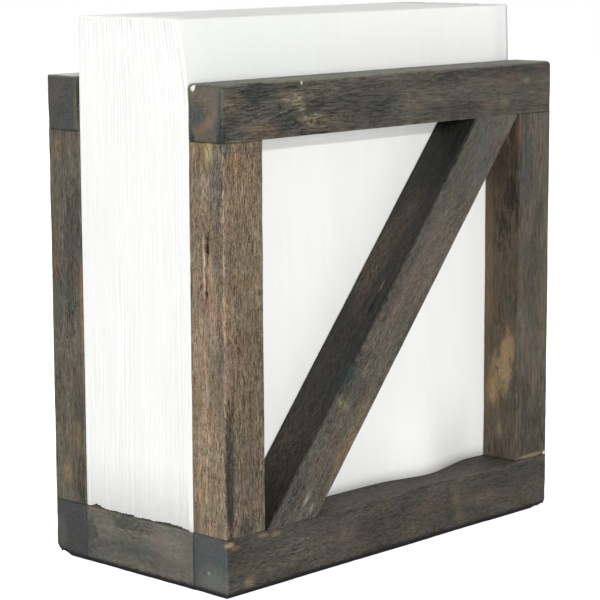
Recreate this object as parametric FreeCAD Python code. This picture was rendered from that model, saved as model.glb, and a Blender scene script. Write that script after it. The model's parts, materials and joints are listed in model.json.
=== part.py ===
"""Napkin holder of stained wooden sticks, with the folded paper napkins that stand in it.

Two square stick frames, each with a diagonal brace, face each other across a slot.
Cross rails between their bottom rails tie them together and carry the napkins.
X runs along the frames, -Y is the front, +Z is up. The origin is the middle of the
footprint, on the surface that the holder stands on. All sizes are in millimetres.
"""
import FreeCAD
import Part
import math
import os

# ---- The holder's overall form
frame_width = 167.0  # outside width of each frame, along X
frame_height = 165.0  # outside height of each frame, along Z
slot_depth = 52.4  # clear gap between the two frames, along Y

# ---- The sticks
stick_depth = 15.6  # thickness of every frame stick, along Y
top_face = 18.1  # height of the top rails
bottom_face = 19.3  # height of the bottom rails and of the cross rails
stile_face = 17.8  # width of the upright stiles
brace_face = 18.7  # width of the diagonal brace, square to its length
brace_gap = 1.2  # by which the brace's upper end stops short of the stile beside it
cross_face = 15.0  # width of the cross rails, along X
cross_names = ("left", "middle", "right")  # cross rails in the base, evenly spaced

# ---- Sanding, done after the frames are glued up
corner_radius = 1.8  # the frames' two upper outer corners
outer_easing = 0.8  # edges round the outside of a frame, and those of the cross rails
window_easing = 0.4  # long edges that look into a window
easing_limit = 0.4  # most of a stick's thickness that a rounding may take

# ---- Brads that pin the glued joints: flat wire with a T head and a chisel point
brad_length = 30.0
brad_wire_width = 1.2
brad_wire_thickness = 1.0
brad_head_width = 2.0
brad_head_depth = 0.5
brad_point_length = 1.5
brad_set = 0.8  # depth of the head below the surface, filled flush with wood filler
brad_spacing = 9.0  # between the two brads of a stile's end

# ---- The napkins, folded in four with the fold at the top
napkin_width = 163.0
napkin_height = 165.4
napkin_count = 30
napkin_gap = 0.06  # between neighbouring napkins, and between the leaves of one
napkin_clearance = 0.3  # from the frames and the base
napkin_inset = 0.3  # left end of the stack, inside the frames' left end
front_lean = 5.0  # the stack's front face leans in by this much at the top
back_lean = 0.6  # and its back face by this much
lean_start = 8.0  # height below the frames' top edge where the lean begins
lean_steps = 4  # straight facets in the leaning stretch of a napkin

# ---- What follows from them
half_width = frame_width / 2
half_slot = slot_depth / 2
frame_offset = half_slot + stick_depth / 2  # from the middle to a frame's mid-plane
stile_inner = half_width - stile_face
window_top = frame_height - top_face
window_height = window_top - bottom_face
tiny = 1e-3

Vector = FreeCAD.Vector
UP = Vector(0, 0, 1)
DOWN = Vector(0, 0, -1)


def brace_slope():
    """Angle from upright at which the brace runs between the ends of the window."""
    span = 2 * stile_inner - brace_gap
    diagonal = math.hypot(span, window_height)
    return math.acos(brace_face / diagonal) - math.atan2(window_height, span)


brace_angle = brace_slope()
brace_cut = brace_face / math.cos(brace_angle)  # length of its level end cuts


# ---- Helpers


def stick(low, high):
    """A square-edged stick between two opposite corners."""
    size = high - low
    return Part.makeBox(size.x, size.y, size.z, low)


def eased(shape, radius, wanted):
    """The shape with the edges rounded whose middle point passes the test."""
    edges = [e for e in shape.Edges if wanted(e.CenterOfMass)]
    return shape.makeFillet(min(radius, easing_limit * stick_depth), edges)


def near(a, b):
    """True where two coordinates are the same place."""
    return abs(a - b) < tiny


def on_face(point):
    """True for a point in a frame's front or back face, in the frame's own mid-plane system."""
    return near(abs(point.y), stick_depth / 2)


# ---- The sticks of one frame, about its mid-plane y = 0


def top_rail():
    """The full-width rail at the top, rounded at its two upper corners."""
    shape = stick(
        Vector(-half_width, -stick_depth / 2, window_top),
        Vector(half_width, stick_depth / 2, frame_height),
    )
    shape = eased(
        shape,
        corner_radius,
        lambda p: near(abs(p.x), half_width) and near(p.z, frame_height),
    )
    return eased(shape, outer_easing, lambda p: on_face(p) and not near(p.z, window_top))


def bottom_rail():
    """The full-width rail at the bottom, left square where the cross rails meet it."""
    shape = stick(
        Vector(-half_width, -stick_depth / 2, 0),
        Vector(half_width, stick_depth / 2, bottom_face),
    )
    shape = eased(
        shape,
        outer_easing,
        lambda p: near(abs(p.x), half_width) and near(p.z, 0),
    )
    return eased(
        shape,
        outer_easing,
        lambda p: near(p.y, -stick_depth / 2) and not near(p.z, bottom_face),
    )


def stile(side):
    """An upright between the rails, at the left (-1) or right (+1) end."""
    inner = side * stile_inner
    outer = side * half_width
    shape = stick(
        Vector(min(inner, outer), -stick_depth / 2, bottom_face),
        Vector(max(inner, outer), stick_depth / 2, window_top),
    )
    upright = bottom_face + window_height / 2
    shape = eased(
        shape, outer_easing, lambda p: near(p.x, outer) and near(p.z, upright)
    )
    return eased(
        shape,
        window_easing,
        lambda p: near(p.x, inner) and near(p.z, upright) and on_face(p),
    )


def brace():
    """The diagonal, from the lower left inner corner nearly to the upper right one."""
    foot = -stile_inner
    head = stile_inner - brace_gap
    outline = Part.makePolygon(
        [
            Vector(foot, -stick_depth / 2, bottom_face),
            Vector(foot + brace_cut, -stick_depth / 2, bottom_face),
            Vector(head, -stick_depth / 2, window_top),
            Vector(head - brace_cut, -stick_depth / 2, window_top),
            Vector(foot, -stick_depth / 2, bottom_face),
        ]
    )
    shape = Part.Face(outline).extrude(Vector(0, stick_depth, 0))
    middle = (bottom_face + window_top) / 2
    return eased(shape, window_easing, lambda p: on_face(p) and near(p.z, middle))


# ---- Brads


def brad(surface_point, direction):
    """A brad driven at a surface point along a direction, with its head set below it."""
    shank = brad_wire_width / 2
    head = brad_head_width / 2
    shoulder = brad_length - brad_point_length
    right = [(head, 0), (head, brad_head_depth), (shank, brad_head_depth), (shank, shoulder)]
    left = [(-x, z) for x, z in reversed(right)]
    outline = right + [(0, brad_length)] + left + right[:1]
    blank = Part.makePolygon([Vector(x, -brad_wire_thickness / 2, z) for x, z in outline])
    shape = Part.Face(blank).extrude(Vector(0, brad_wire_thickness, 0))
    top = surface_point + direction * brad_set
    shape.Placement = FreeCAD.Placement(top, FreeCAD.Rotation(UP, direction))
    return shape


def frame_brads():
    """The upright brads of one frame: through the rails into the stiles and the brace."""
    stile_middle = half_width - stile_face / 2
    reach = brad_length + brad_set
    brads = []
    for side in (-1, 1):
        for step in (-0.5, 0.5):
            x = side * stile_middle + step * brad_spacing
            brads.append(brad(Vector(x, 0, frame_height), DOWN))
            brads.append(brad(Vector(x, 0, 0), UP))
    head = stile_inner - brace_gap - brace_cut / 2
    head -= (reach - top_face) / 2 * math.tan(brace_angle)
    foot = -stile_inner + brace_cut / 2
    foot += (reach - bottom_face) / 2 * math.tan(brace_angle)
    brads.append(brad(Vector(head, 0, frame_height), DOWN))
    brads.append(brad(Vector(foot, 0, 0), UP))
    return Part.makeCompound(brads)


def cross_brads():
    """The level brads: through both bottom rails into the ends of every cross rail."""
    face = half_slot + stick_depth
    brads = []
    for x in cross_places():
        for side in (-1, 1):
            point = Vector(x, side * face, bottom_face / 2)
            brads.append(brad(point, Vector(0, -side, 0)))
    return Part.makeCompound(brads)


# ---- The base


def cross_places():
    """The X of each cross rail's middle, the outer ones flush with the frames' ends."""
    reach = half_width - cross_face / 2
    step = 2 * reach / (len(cross_names) - 1)
    return [-reach + i * step for i in range(len(cross_names))]


def cross_rail(x):
    """A cross rail between the two bottom rails, level with them at top and bottom."""
    shape = stick(
        Vector(x - cross_face / 2, -half_slot, 0),
        Vector(x + cross_face / 2, half_slot, bottom_face),
    )
    return eased(shape, outer_easing, lambda p: near(p.y, 0) and near(p.z, 0))


# ---- The napkins


def lean_curve(rest, lean):
    """Y and Z along an upright sheet that bends over by lean, from the base to its top."""
    base = bottom_face + napkin_clearance
    bend = frame_height - lean_start
    top = base + napkin_height
    points = [(rest, base)]
    for step in range(lean_steps + 1):
        share = step / lean_steps
        points.append((rest + lean * share**2, bend + (top - bend) * share))
    return points


def sheet_curve(share):
    """The lean curve at a share of the stack's thickness, from its front to its back."""
    front = -half_slot + napkin_clearance
    back = half_slot - napkin_clearance
    rest = front + (back - front) * share
    lean = front_lean + (-back_lean - front_lean) * share
    return lean_curve(rest, lean)


def shifted(curve, offset):
    """A curve moved along Y."""
    return [(y + offset, z) for y, z in curve]


def lowered(curve, drop):
    """A curve whose last point is lowered, to leave room for a fold above it."""
    y, z = curve[-1]
    return curve[:-1] + [(y, z - drop)]


def napkin(number):
    """One napkin of the stack, counted from the front: two leaves under a round fold."""
    half_gap = napkin_gap / 2
    near_side = shifted(sheet_curve(number / napkin_count), half_gap)
    far_side = shifted(sheet_curve((number + 1) / napkin_count), -half_gap)
    middle = sheet_curve((number + 0.5) / napkin_count)
    top_y, top_z = middle[-1]
    fold_radius = (far_side[-1][0] - near_side[-1][0]) / 2
    leaf = fold_radius - half_gap
    near_side = lowered(near_side, fold_radius)
    far_side = lowered(far_side, fold_radius)
    middle = lowered(middle, leaf)
    x = -half_width + napkin_inset

    def points(curve):
        return [Vector(x, y, z) for y, z in curve]

    rising = points(near_side)
    falling = points(reversed(far_side))
    slit = points(shifted(middle, half_gap)) + points(reversed(shifted(middle, -half_gap)))
    fold = Part.Arc(rising[-1], Vector(x, top_y, top_z), falling[0]).toShape()
    legs = Part.makePolygon(falling + slit + rising)
    outline = Part.Wire(legs.Edges + [fold])
    return Part.Face(outline).extrude(Vector(napkin_width, 0, 0))


# ---- The whole holder


def front_place(shape):
    """A frame piece moved from the mid-plane system to the front frame."""
    moved = shape.copy()
    moved.translate(Vector(0, -frame_offset, 0))
    return moved


def back_place(shape):
    """A frame piece in the back frame, which is the front one turned half round."""
    moved = front_place(shape)
    moved.rotate(Vector(0, 0, 0), UP, 180)
    return moved


def build():
    """Every piece of the holder, by name."""
    parts = {}
    frame = {
        "top_rail": top_rail(),
        "bottom_rail": bottom_rail(),
        "left_stile": stile(-1),
        "right_stile": stile(1),
        "brace": brace(),
    }
    level_brads = cross_brads()
    for name, place in (("front", front_place), ("back", back_place)):
        upright_brads = place(frame_brads())
        for piece, shape in frame.items():
            drilled = place(shape).cut(upright_brads)
            if piece == "bottom_rail":
                drilled = drilled.cut(level_brads)
            parts[f"{name}_{piece}"] = drilled
        parts[f"{name}_frame_brads"] = upright_brads
    for name, x in zip(cross_names, cross_places()):
        parts[f"{name}_cross_rail"] = cross_rail(x).cut(level_brads)
    parts["cross_rail_brads"] = level_brads
    parts["front_napkin"] = napkin(0)
    parts["napkin_stack"] = Part.makeCompound(
        [napkin(number) for number in range(1, napkin_count)]
    )
    return parts


os.makedirs("parts", exist_ok=True)
for node, shape in build().items():
    shape.exportStep(f"parts/{node}.step")
    print(f"{node}: {len(shape.Solids)} solid(s), {shape.Volume / 1000:.2f} cm3")
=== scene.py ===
"""The looks of a napkin holder: worn, stained sticks and the folded napkins between them.

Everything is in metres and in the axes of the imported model: X runs along the two frames,
-Y is the front, +Z is up, and the origin lies under the middle of the base. Each stick is
modelled about its own middle, with its grain along its first axis, and is then set where
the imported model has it. Sizes that are written here in millimetres are named so.
"""
import sys
import json
import logging
import math
import random
from dataclasses import dataclass, field
from enum import Enum
from typing import Callable

import bmesh
import bpy
from mathutils import Matrix, Vector, noise

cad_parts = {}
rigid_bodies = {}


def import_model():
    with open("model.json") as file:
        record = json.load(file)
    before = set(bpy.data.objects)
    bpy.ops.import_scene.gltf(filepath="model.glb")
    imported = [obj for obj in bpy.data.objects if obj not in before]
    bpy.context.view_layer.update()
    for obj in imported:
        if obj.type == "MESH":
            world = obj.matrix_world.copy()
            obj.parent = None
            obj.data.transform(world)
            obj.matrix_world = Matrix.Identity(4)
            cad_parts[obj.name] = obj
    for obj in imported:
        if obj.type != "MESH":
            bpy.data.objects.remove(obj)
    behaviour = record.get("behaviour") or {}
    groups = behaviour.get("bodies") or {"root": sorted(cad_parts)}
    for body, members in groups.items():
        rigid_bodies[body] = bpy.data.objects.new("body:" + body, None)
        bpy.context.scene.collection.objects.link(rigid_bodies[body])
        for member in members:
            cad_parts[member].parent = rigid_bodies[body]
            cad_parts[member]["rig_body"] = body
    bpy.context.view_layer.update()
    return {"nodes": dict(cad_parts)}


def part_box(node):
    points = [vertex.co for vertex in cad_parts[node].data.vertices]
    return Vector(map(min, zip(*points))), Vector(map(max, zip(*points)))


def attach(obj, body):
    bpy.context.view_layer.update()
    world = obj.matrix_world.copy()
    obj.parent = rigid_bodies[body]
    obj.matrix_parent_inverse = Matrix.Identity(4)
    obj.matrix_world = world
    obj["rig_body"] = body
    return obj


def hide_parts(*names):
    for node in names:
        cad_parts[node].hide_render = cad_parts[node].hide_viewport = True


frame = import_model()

log = logging.getLogger("napkin_holder")

MM = 0.001
Socket = bpy.types.NodeSocket
Sockets = bpy.types.bpy_prop_collection
Tree = bpy.types.NodeTree
Material = bpy.types.Material
Shape = bmesh.types.BMesh
Triple = tuple[float, float, float]
FRONT_AXIS = Vector((0.0, -1.0, 0.0))
LEVEL_AXIS = Vector((1.0, 0.0, 0.0))
DEEP_AXIS = Vector((0.0, 1.0, 0.0))
UPRIGHT_AXIS = Vector((0.0, 0.0, 1.0))


class Side(Enum):
    """The two braced frames of the holder."""

    FRONT = "front"
    BACK = "back"


class Slot(Enum):
    """The material slots of the record."""

    WOOD = "weathered_wood"
    STEEL = "brad_steel"
    PAPER = "napkin_paper"


class Ending(Enum):
    """How the ends of a stick are left."""

    OPEN = "rounded like its sides"
    BUTT = "butted against another stick, with a fine line at the joint"
    FLUSH = "sanded level with the stick that it meets"


# ---------------------------------------------------------------- small helpers


def smooth_step(low: float, high: float, value: float) -> float:
    """A ramp from 0 at low to 1 at high, with soft ends.

    Args:
        low: where the ramp starts.
        high: where it ends.
        value: where it is read.

    Returns:
        The ramp's height, from 0 to 1.
    """
    share = min(1.0, max(0.0, (value - low) / (high - low)))
    return share * share * (3.0 - 2.0 * share)


def bell(value: float, middle: float, width: float) -> float:
    """A soft bump of height 1 round a middle."""
    return math.exp(-(((value - middle) / width) ** 2))


def millimetres(values: tuple[float, ...]) -> Vector:
    """A point or size given in millimetres, in metres."""
    return Vector(values) * MM


def turned_box(node: str, turn: Matrix) -> tuple[Vector, Vector]:
    """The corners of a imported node, in axes that are turned with the frame it belongs to.

    Args:
        node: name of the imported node.
        turn: how those axes are turned in the holder.

    Returns:
        The lowest and the highest corner, in metres.
    """
    back = turn.inverted()
    corners = [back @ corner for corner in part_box(node)]
    return Vector(map(min, *corners)), Vector(map(max, *corners))


def put_in_scene(name: str, data: bpy.types.ID) -> bpy.types.Object:
    """Makes an object of a mesh, a lamp or a lens, and links it to the scene."""
    made = bpy.data.objects.new(name, data)
    bpy.context.scene.collection.objects.link(made)
    return made


def add_piece(name: str, shape: Shape, material: Material, node: str) -> None:
    """Makes a finished shape a piece of the holder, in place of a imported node.

    Args:
        name: the piece's name.
        shape: its closed shape, in the holder's axes. It is freed.
        material: its finish.
        node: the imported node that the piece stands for, whose body it rides on.
    """
    bmesh.ops.recalc_face_normals(shape, faces=shape.faces)
    mesh = bpy.data.meshes.new(name)
    shape.to_mesh(mesh)
    shape.free()
    mesh.polygons.foreach_set("use_smooth", [True] * len(mesh.polygons))
    mesh.materials.append(material)
    piece = put_in_scene(name, mesh)
    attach(piece, frame["nodes"][node]["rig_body"])
    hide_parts(node)
    log.info("%s: %d faces, stands for %s", name, len(mesh.polygons), node)


# ---------------------------------------------------------------- colour and shader nodes


@dataclass(frozen=True)
class Tint:
    """A colour in the 0 to 255 steps of a screen."""

    red: float
    green: float
    blue: float

    def linear(self) -> tuple[float, float, float, float]:
        """The colour as the shader's sockets hold it."""
        steps = [channel / 255.0 for channel in (self.red, self.green, self.blue)]
        channels = [
            step / 12.92 if step <= 0.04045 else ((step + 0.055) / 1.055) ** 2.4
            for step in steps
        ]
        return (*channels, 1.0)


class NodeSheet:
    """Adds nodes to a material or a group, and joins them as it does."""

    def __init__(self, tree: Tree) -> None:
        """Args: tree: the node tree that is filled."""
        self.tree = tree

    def add(self, kind: str, feeds: dict | None = None, **settings: object) -> bpy.types.Node:
        """Adds one node.

        Args:
            kind: the node's type, without the leading ShaderNode.
            feeds: what goes into its inputs, by name or number: a socket or a constant.
            settings: the node's own properties.

        Returns:
            The node.
        """
        node = self.tree.nodes.new("ShaderNode" + kind)
        for name, value in settings.items():
            setattr(node, name, value)
        for key, value in (feeds or {}).items():
            self.feed(node.inputs[key], value)
        return node

    def feed(self, target: Socket, value: object) -> None:
        """Joins a socket to an input, or sets the input to a constant."""
        if isinstance(value, Socket):
            self.tree.links.new(value, target)
        elif isinstance(value, Tint):
            target.default_value = value.linear()
        else:
            target.default_value = value

    def math(self, operation: str, *values: object, clamp: bool = False) -> Socket:
        """The result of a Math node for sockets or numbers."""
        node = self.add("Math", dict(enumerate(values)), operation=operation)
        node.use_clamp = clamp
        return node.outputs[0]

    def vector_math(self, operation: str, *values: object) -> Socket:
        """The vector that a Vector Math node makes of sockets or vectors."""
        node = self.add("VectorMath", dict(enumerate(values)), operation=operation)
        return node.outputs["Value" if operation == "LENGTH" else "Vector"]

    def weigh(self, *parts: tuple[Socket, float]) -> Socket:
        """The sum of some values, each times its own weight."""
        total = self.math("MULTIPLY", *parts[0])
        for value, weight in parts[1:]:
            total = self.math("MULTIPLY_ADD", value, weight, total)
        return total

    def parts(self, vector: Socket) -> Sockets:
        """The three components of a vector."""
        return self.add("SeparateXYZ", {0: vector}).outputs

    def ramp(self, value: Socket, low: object, high: object) -> Socket:
        """A soft ramp from 0 at low to 1 at high."""
        feeds = {"Value": value, "From Min": low, "From Max": high}
        node = self.add("MapRange", feeds, interpolation_type="SMOOTHSTEP")
        return node.outputs["Result"]

    def span(self, value: Socket, low: object, high: object) -> Socket:
        """A value from 0 to 1, stretched to run from low to high."""
        feeds = {"Value": value, "To Min": low, "To Max": high}
        return self.add("MapRange", feeds).outputs["Result"]

    def blend(self, mask: object, under: object, over: object, mode: str = "MIX") -> Socket:
        """Lays one colour over another where a mask says.

        Args:
            mask: how much of the upper colour shows, from 0 to 1.
            under: the lower colour, a socket or a Tint.
            over: the upper colour.
            mode: how the upper colour is laid on.

        Returns:
            The colour that results.
        """
        node = self.add("Mix", data_type="RGBA", blend_type=mode)
        for key, value in ((0, mask), (6, under), (7, over)):
            self.feed(node.inputs[key], value)
        return node.outputs[2]

    def bump(self, height: Socket, strength: float, distance: float) -> Socket:
        """The normal of a surface that a height makes uneven."""
        feeds = {"Strength": strength, "Distance": distance, "Height": height}
        return self.add("Bump", feeds).outputs[0]

    def group(self, effect: Tree, feeds: dict) -> Sockets:
        """Places a shared effect with its own values and returns its outputs."""
        return self.add("Group", feeds, node_tree=effect).outputs

    def position(self, axes: Matrix) -> Socket:
        """The place on a piece, through a Mapping node that turns it to some axes."""
        feeds = {
            "Vector": self.add("TexCoord").outputs["Object"],
            "Location": axes.translation,
            "Rotation": axes.to_euler(),
        }
        return self.add("Mapping", feeds, vector_type="TEXTURE").outputs[0]


@dataclass(frozen=True)
class Cloud:
    """A cloudy pattern.

    Attributes:
        stretch: clouds to the metre along each axis.
        detail: how many finer clouds are laid over them.
        rough: how strong the finer ones are.
    """

    stretch: Triple | Socket
    detail: float = 3.0
    rough: float = 0.5


class SharedEffect:
    """A shader effect that several finishes place with their own values.

    Attributes:
        where: the position that its clouds are drawn at.
    """

    def __init__(
        self,
        name: str,
        vectors: tuple[str, ...],
        results: tuple[str, ...],
        values: tuple[str, ...] = (),
    ) -> None:
        """Opens the effect's node group.

        Args:
            name: the group's name.
            vectors: the names of its vector inputs.
            results: the names of its outputs, all values.
            values: the names of its inputs that are values.
        """
        self.tree = bpy.data.node_groups.new(name, "ShaderNodeTree")
        sockets = [(label, "INPUT", "Vector") for label in vectors]
        sockets += [(label, "INPUT", "Float") for label in values]
        sockets += [(label, "OUTPUT", "Float") for label in results]
        for label, way, kind in sockets:
            self.tree.interface.new_socket(
                name=label, in_out=way, socket_type=f"NodeSocket{kind}"
            )
        self.sheet = NodeSheet(self.tree)
        self.inputs = self.tree.nodes.new("NodeGroupInput").outputs
        self.results = self.tree.nodes.new("NodeGroupOutput").inputs
        self.where = self.inputs["Position"]

    def cloud(self, cloud: Cloud) -> Socket:
        """A cloudy value from 0 to 1, moved on by the seed, so that no two sticks match."""
        place = self.sheet.vector_math("MULTIPLY", self.where, cloud.stretch)
        if "Seed" in self.inputs.keys():
            place = self.sheet.vector_math("ADD", place, self.inputs["Seed"])
        feeds = {"Vector": place, "Scale": 1.0, "Detail": cloud.detail, "Roughness": cloud.rough}
        return self.sheet.add("TexNoise", feeds).outputs[0]

    def distance(self) -> Socket:
        """How far a place lies from the effect's middle, where its reach counts as 1."""
        away = self.sheet.vector_math("SUBTRACT", self.inputs["Position"], self.inputs["Middle"])
        away = self.sheet.vector_math("DIVIDE", away, self.inputs["Reach"])
        return self.sheet.vector_math("LENGTH", away)

    def give(self, **results: Socket) -> Tree:
        """Joins the results to the group's outputs and returns the finished group."""
        for label, socket in results.items():
            self.sheet.feed(self.results[label], socket)
        return self.tree


# Clouds on wood, along, across and through a stick.
SWAY = Cloud((26.0, 60.0, 60.0), 1.0)
BROAD_FIBRE = Cloud((70.0, 700.0, 700.0), 2.0)
GRIT = Cloud((1500.0, 2600.0, 2600.0), 1.0)
BAND = Cloud((14.0, 230.0, 230.0), 2.0)
WARMTH = Cloud((80.0, 190.0, 190.0), 2.0)
TINGE = Cloud((120.0, 150.0, 230.0), 2.0)
SOAKING = Cloud((34.0, 95.0, 95.0), rough=0.55)
PATCH_EDGE = Cloud((110.0, 330.0, 330.0), rough=0.6)
KNOT_EDGE = Cloud((420.0, 800.0, 800.0), rough=0.7)
WEAR_BREAKS = Cloud((160.0, 420.0, 420.0), rough=0.6)
# Clouds on paper, along the holder, through it and up it.
DIMPLES = Cloud((1300.0, 900.0, 700.0), 2.0)
CREASES = Cloud((420.0, 500.0, 38.0), 2.0)
PAPER_SHADE = Cloud((60.0, 60.0, 22.0), 2.0)

FIBRE_SWAY = 1.3 * MM
RING_SPACING = 5.0
RING_START = -1.2


def make_wood_figure() -> Tree:
    """The grain: fine fibres, dark pores, pale flecks and slow bands along a stick."""
    effect = SharedEffect(
        "wood_figure",
        ("Position", "Seed", "Fibre", "Fleck"),
        ("Fibre", "Pore", "Pale", "Band", "Warmth", "Tinge"),
    )
    sheet, given = effect.sheet, effect.inputs
    drift = sheet.span(effect.cloud(SWAY), -FIBRE_SWAY, FIBRE_SWAY)
    aside = sheet.add("CombineXYZ", {"Y": drift, "Z": drift}).outputs[0]
    effect.where = sheet.vector_math("ADD", given["Position"], aside)
    fine = effect.cloud(Cloud(given["Fibre"], rough=0.65))
    fleck = effect.cloud(Cloud(given["Fleck"], 1.0))
    fibre = sheet.weigh(
        (effect.cloud(BROAD_FIBRE), 0.15), (fine, 0.6), (effect.cloud(GRIT), 0.25)
    )
    return effect.give(
        Fibre=sheet.ramp(fibre, 0.28, 0.72),
        Pore=sheet.ramp(fleck, 0.6, 0.8),
        Pale=sheet.ramp(fleck, 0.4, 0.2),
        Band=sheet.ramp(effect.cloud(BAND), 0.3, 0.7),
        Warmth=sheet.ramp(effect.cloud(WARMTH), 0.3, 0.7),
        Tinge=sheet.ramp(effect.cloud(TINGE), 0.3, 0.7),
    )


def make_stain_cloud() -> Tree:
    """Uneven soaking of the stain: 0 where it took, 1 where the wood shows through."""
    effect = SharedEffect("stain_cloud", ("Position", "Seed"), ("Cloud",))
    return effect.give(Cloud=effect.sheet.ramp(effect.cloud(SOAKING), 0.34, 0.66))


def make_stain_and_painted_light_patch() -> Tree:
    """One patch of another colour, with an edge that follows the fibres. Most are stains and wear;
    some are painted shade or painted light.
    """
    effect = SharedEffect(
        "stain_and_painted_light_patch", ("Position", "Middle", "Reach", "Seed"), ("Mask",), ("Fibre", "Ragged")
    )
    sheet, given = effect.sheet, effect.inputs
    cloud = sheet.math("SUBTRACT", effect.cloud(PATCH_EDGE), 0.5)
    fibre = sheet.math("MULTIPLY", sheet.math("SUBTRACT", given["Fibre"], 0.5), 0.7)
    rough = sheet.math("ADD", cloud, fibre)
    edge = sheet.math("MULTIPLY_ADD", rough, given["Ragged"], effect.distance())
    return effect.give(Mask=sheet.ramp(edge, 1.15, 0.45))


def make_knot_rings() -> Tree:
    """A small torn knot: crooked pale rings round a dark heart."""
    effect = SharedEffect(
        "knot_rings", ("Position", "Middle", "Reach", "Seed"), ("Cover", "Ring")
    )
    sheet = effect.sheet
    crooked = sheet.math("SUBTRACT", effect.cloud(KNOT_EDGE), 0.5)
    bent = sheet.math("MULTIPLY_ADD", crooked, 1.9, effect.distance())
    ring = sheet.math("SINE", sheet.math("MULTIPLY_ADD", bent, RING_SPACING, RING_START))
    return effect.give(Cover=sheet.ramp(bent, 1.3, 0.6), Ring=sheet.ramp(ring, -0.5, 1.2))


def make_worn_arris() -> Tree:
    """Wear along the long edges of a stick, broken up along its length."""
    effect = SharedEffect(
        "worn_arris", ("Position", "Half Size", "Seed"), ("Wear",), ("Width",)
    )
    sheet, given = effect.sheet, effect.inputs
    away = sheet.vector_math("ABSOLUTE", given["Position"])
    gap = sheet.parts(sheet.vector_math("SUBTRACT", given["Half Size"], away))
    corner = sheet.math("MAXIMUM", gap[1], gap[2])
    spread = sheet.span(sheet.ramp(effect.cloud(WEAR_BREAKS), 0.35, 0.7), 0.2, 1.5)
    width = sheet.math("MULTIPLY", given["Width"], spread)
    return effect.give(Wear=sheet.ramp(sheet.math("DIVIDE", corner, width), 1.0, 0.3))


def make_paper_crepe() -> Tree:
    """The dimpled, slightly creped face of soft paper."""
    effect = SharedEffect("paper_crepe", ("Position",), ("Height", "Tone"))
    sheet = effect.sheet
    crepe = effect.cloud(CREASES)
    height = sheet.weigh((effect.cloud(DIMPLES), 0.55), (crepe, 0.6))
    tone = sheet.weigh((crepe, 0.5), (effect.cloud(PAPER_SHADE), 0.5))
    return effect.give(Height=height, Tone=sheet.ramp(tone, 0.3, 0.7))


@dataclass(frozen=True)
class Effects:
    """The shared shader effects, each built once."""

    figure: Tree
    cloud: Tree
    patch: Tree
    knot: Tree
    arris: Tree
    crepe: Tree


def open_material(name: str) -> tuple[Material, NodeSheet, Socket]:
    """Starts a material.

    Args:
        name: the material's name.

    Returns:
        The material, its empty node sheet and the surface input of its output node.
    """
    material = bpy.data.materials.new(name)
    material.use_nodes = True
    material.node_tree.nodes.clear()
    sheet = NodeSheet(material.node_tree)
    return material, sheet, sheet.add("OutputMaterial").inputs["Surface"]


# ---------------------------------------------------------------- finishes


@dataclass(frozen=True)
class Patch:
    """A patch of another colour on one stick, in millimetres from the stick's middle. Most are
    stains and wear; some are painted shade or painted light.

    Attributes:
        at: how far along, across and towards the front its middle lies.
        reach: how far it spreads each way.
        tint: its colour.
        strength: how well it covers, from 0 to 1.
        ragged: how far its edge strays.
        streaky: how far it shows only in the paler fibres, from 0 to 1.
    """

    at: Triple
    reach: Triple
    tint: Tint
    strength: float
    ragged: float
    streaky: float = 0.0


@dataclass(frozen=True)
class Knot:
    """A small knot on one stick, in millimetres from the stick's middle.

    Attributes:
        at: how far along, across and towards the front its heart lies.
        reach: how far it spreads each way.
        heart: the colour of its dark parts.
        ring: the colour of its pale rings.
        strength: how well it covers, from 0 to 1.
    """

    at: Triple
    reach: Triple
    heart: Tint = Tint(44, 37, 31)
    ring: Tint = Tint(112, 98, 76)
    strength: float = 0.9


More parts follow.
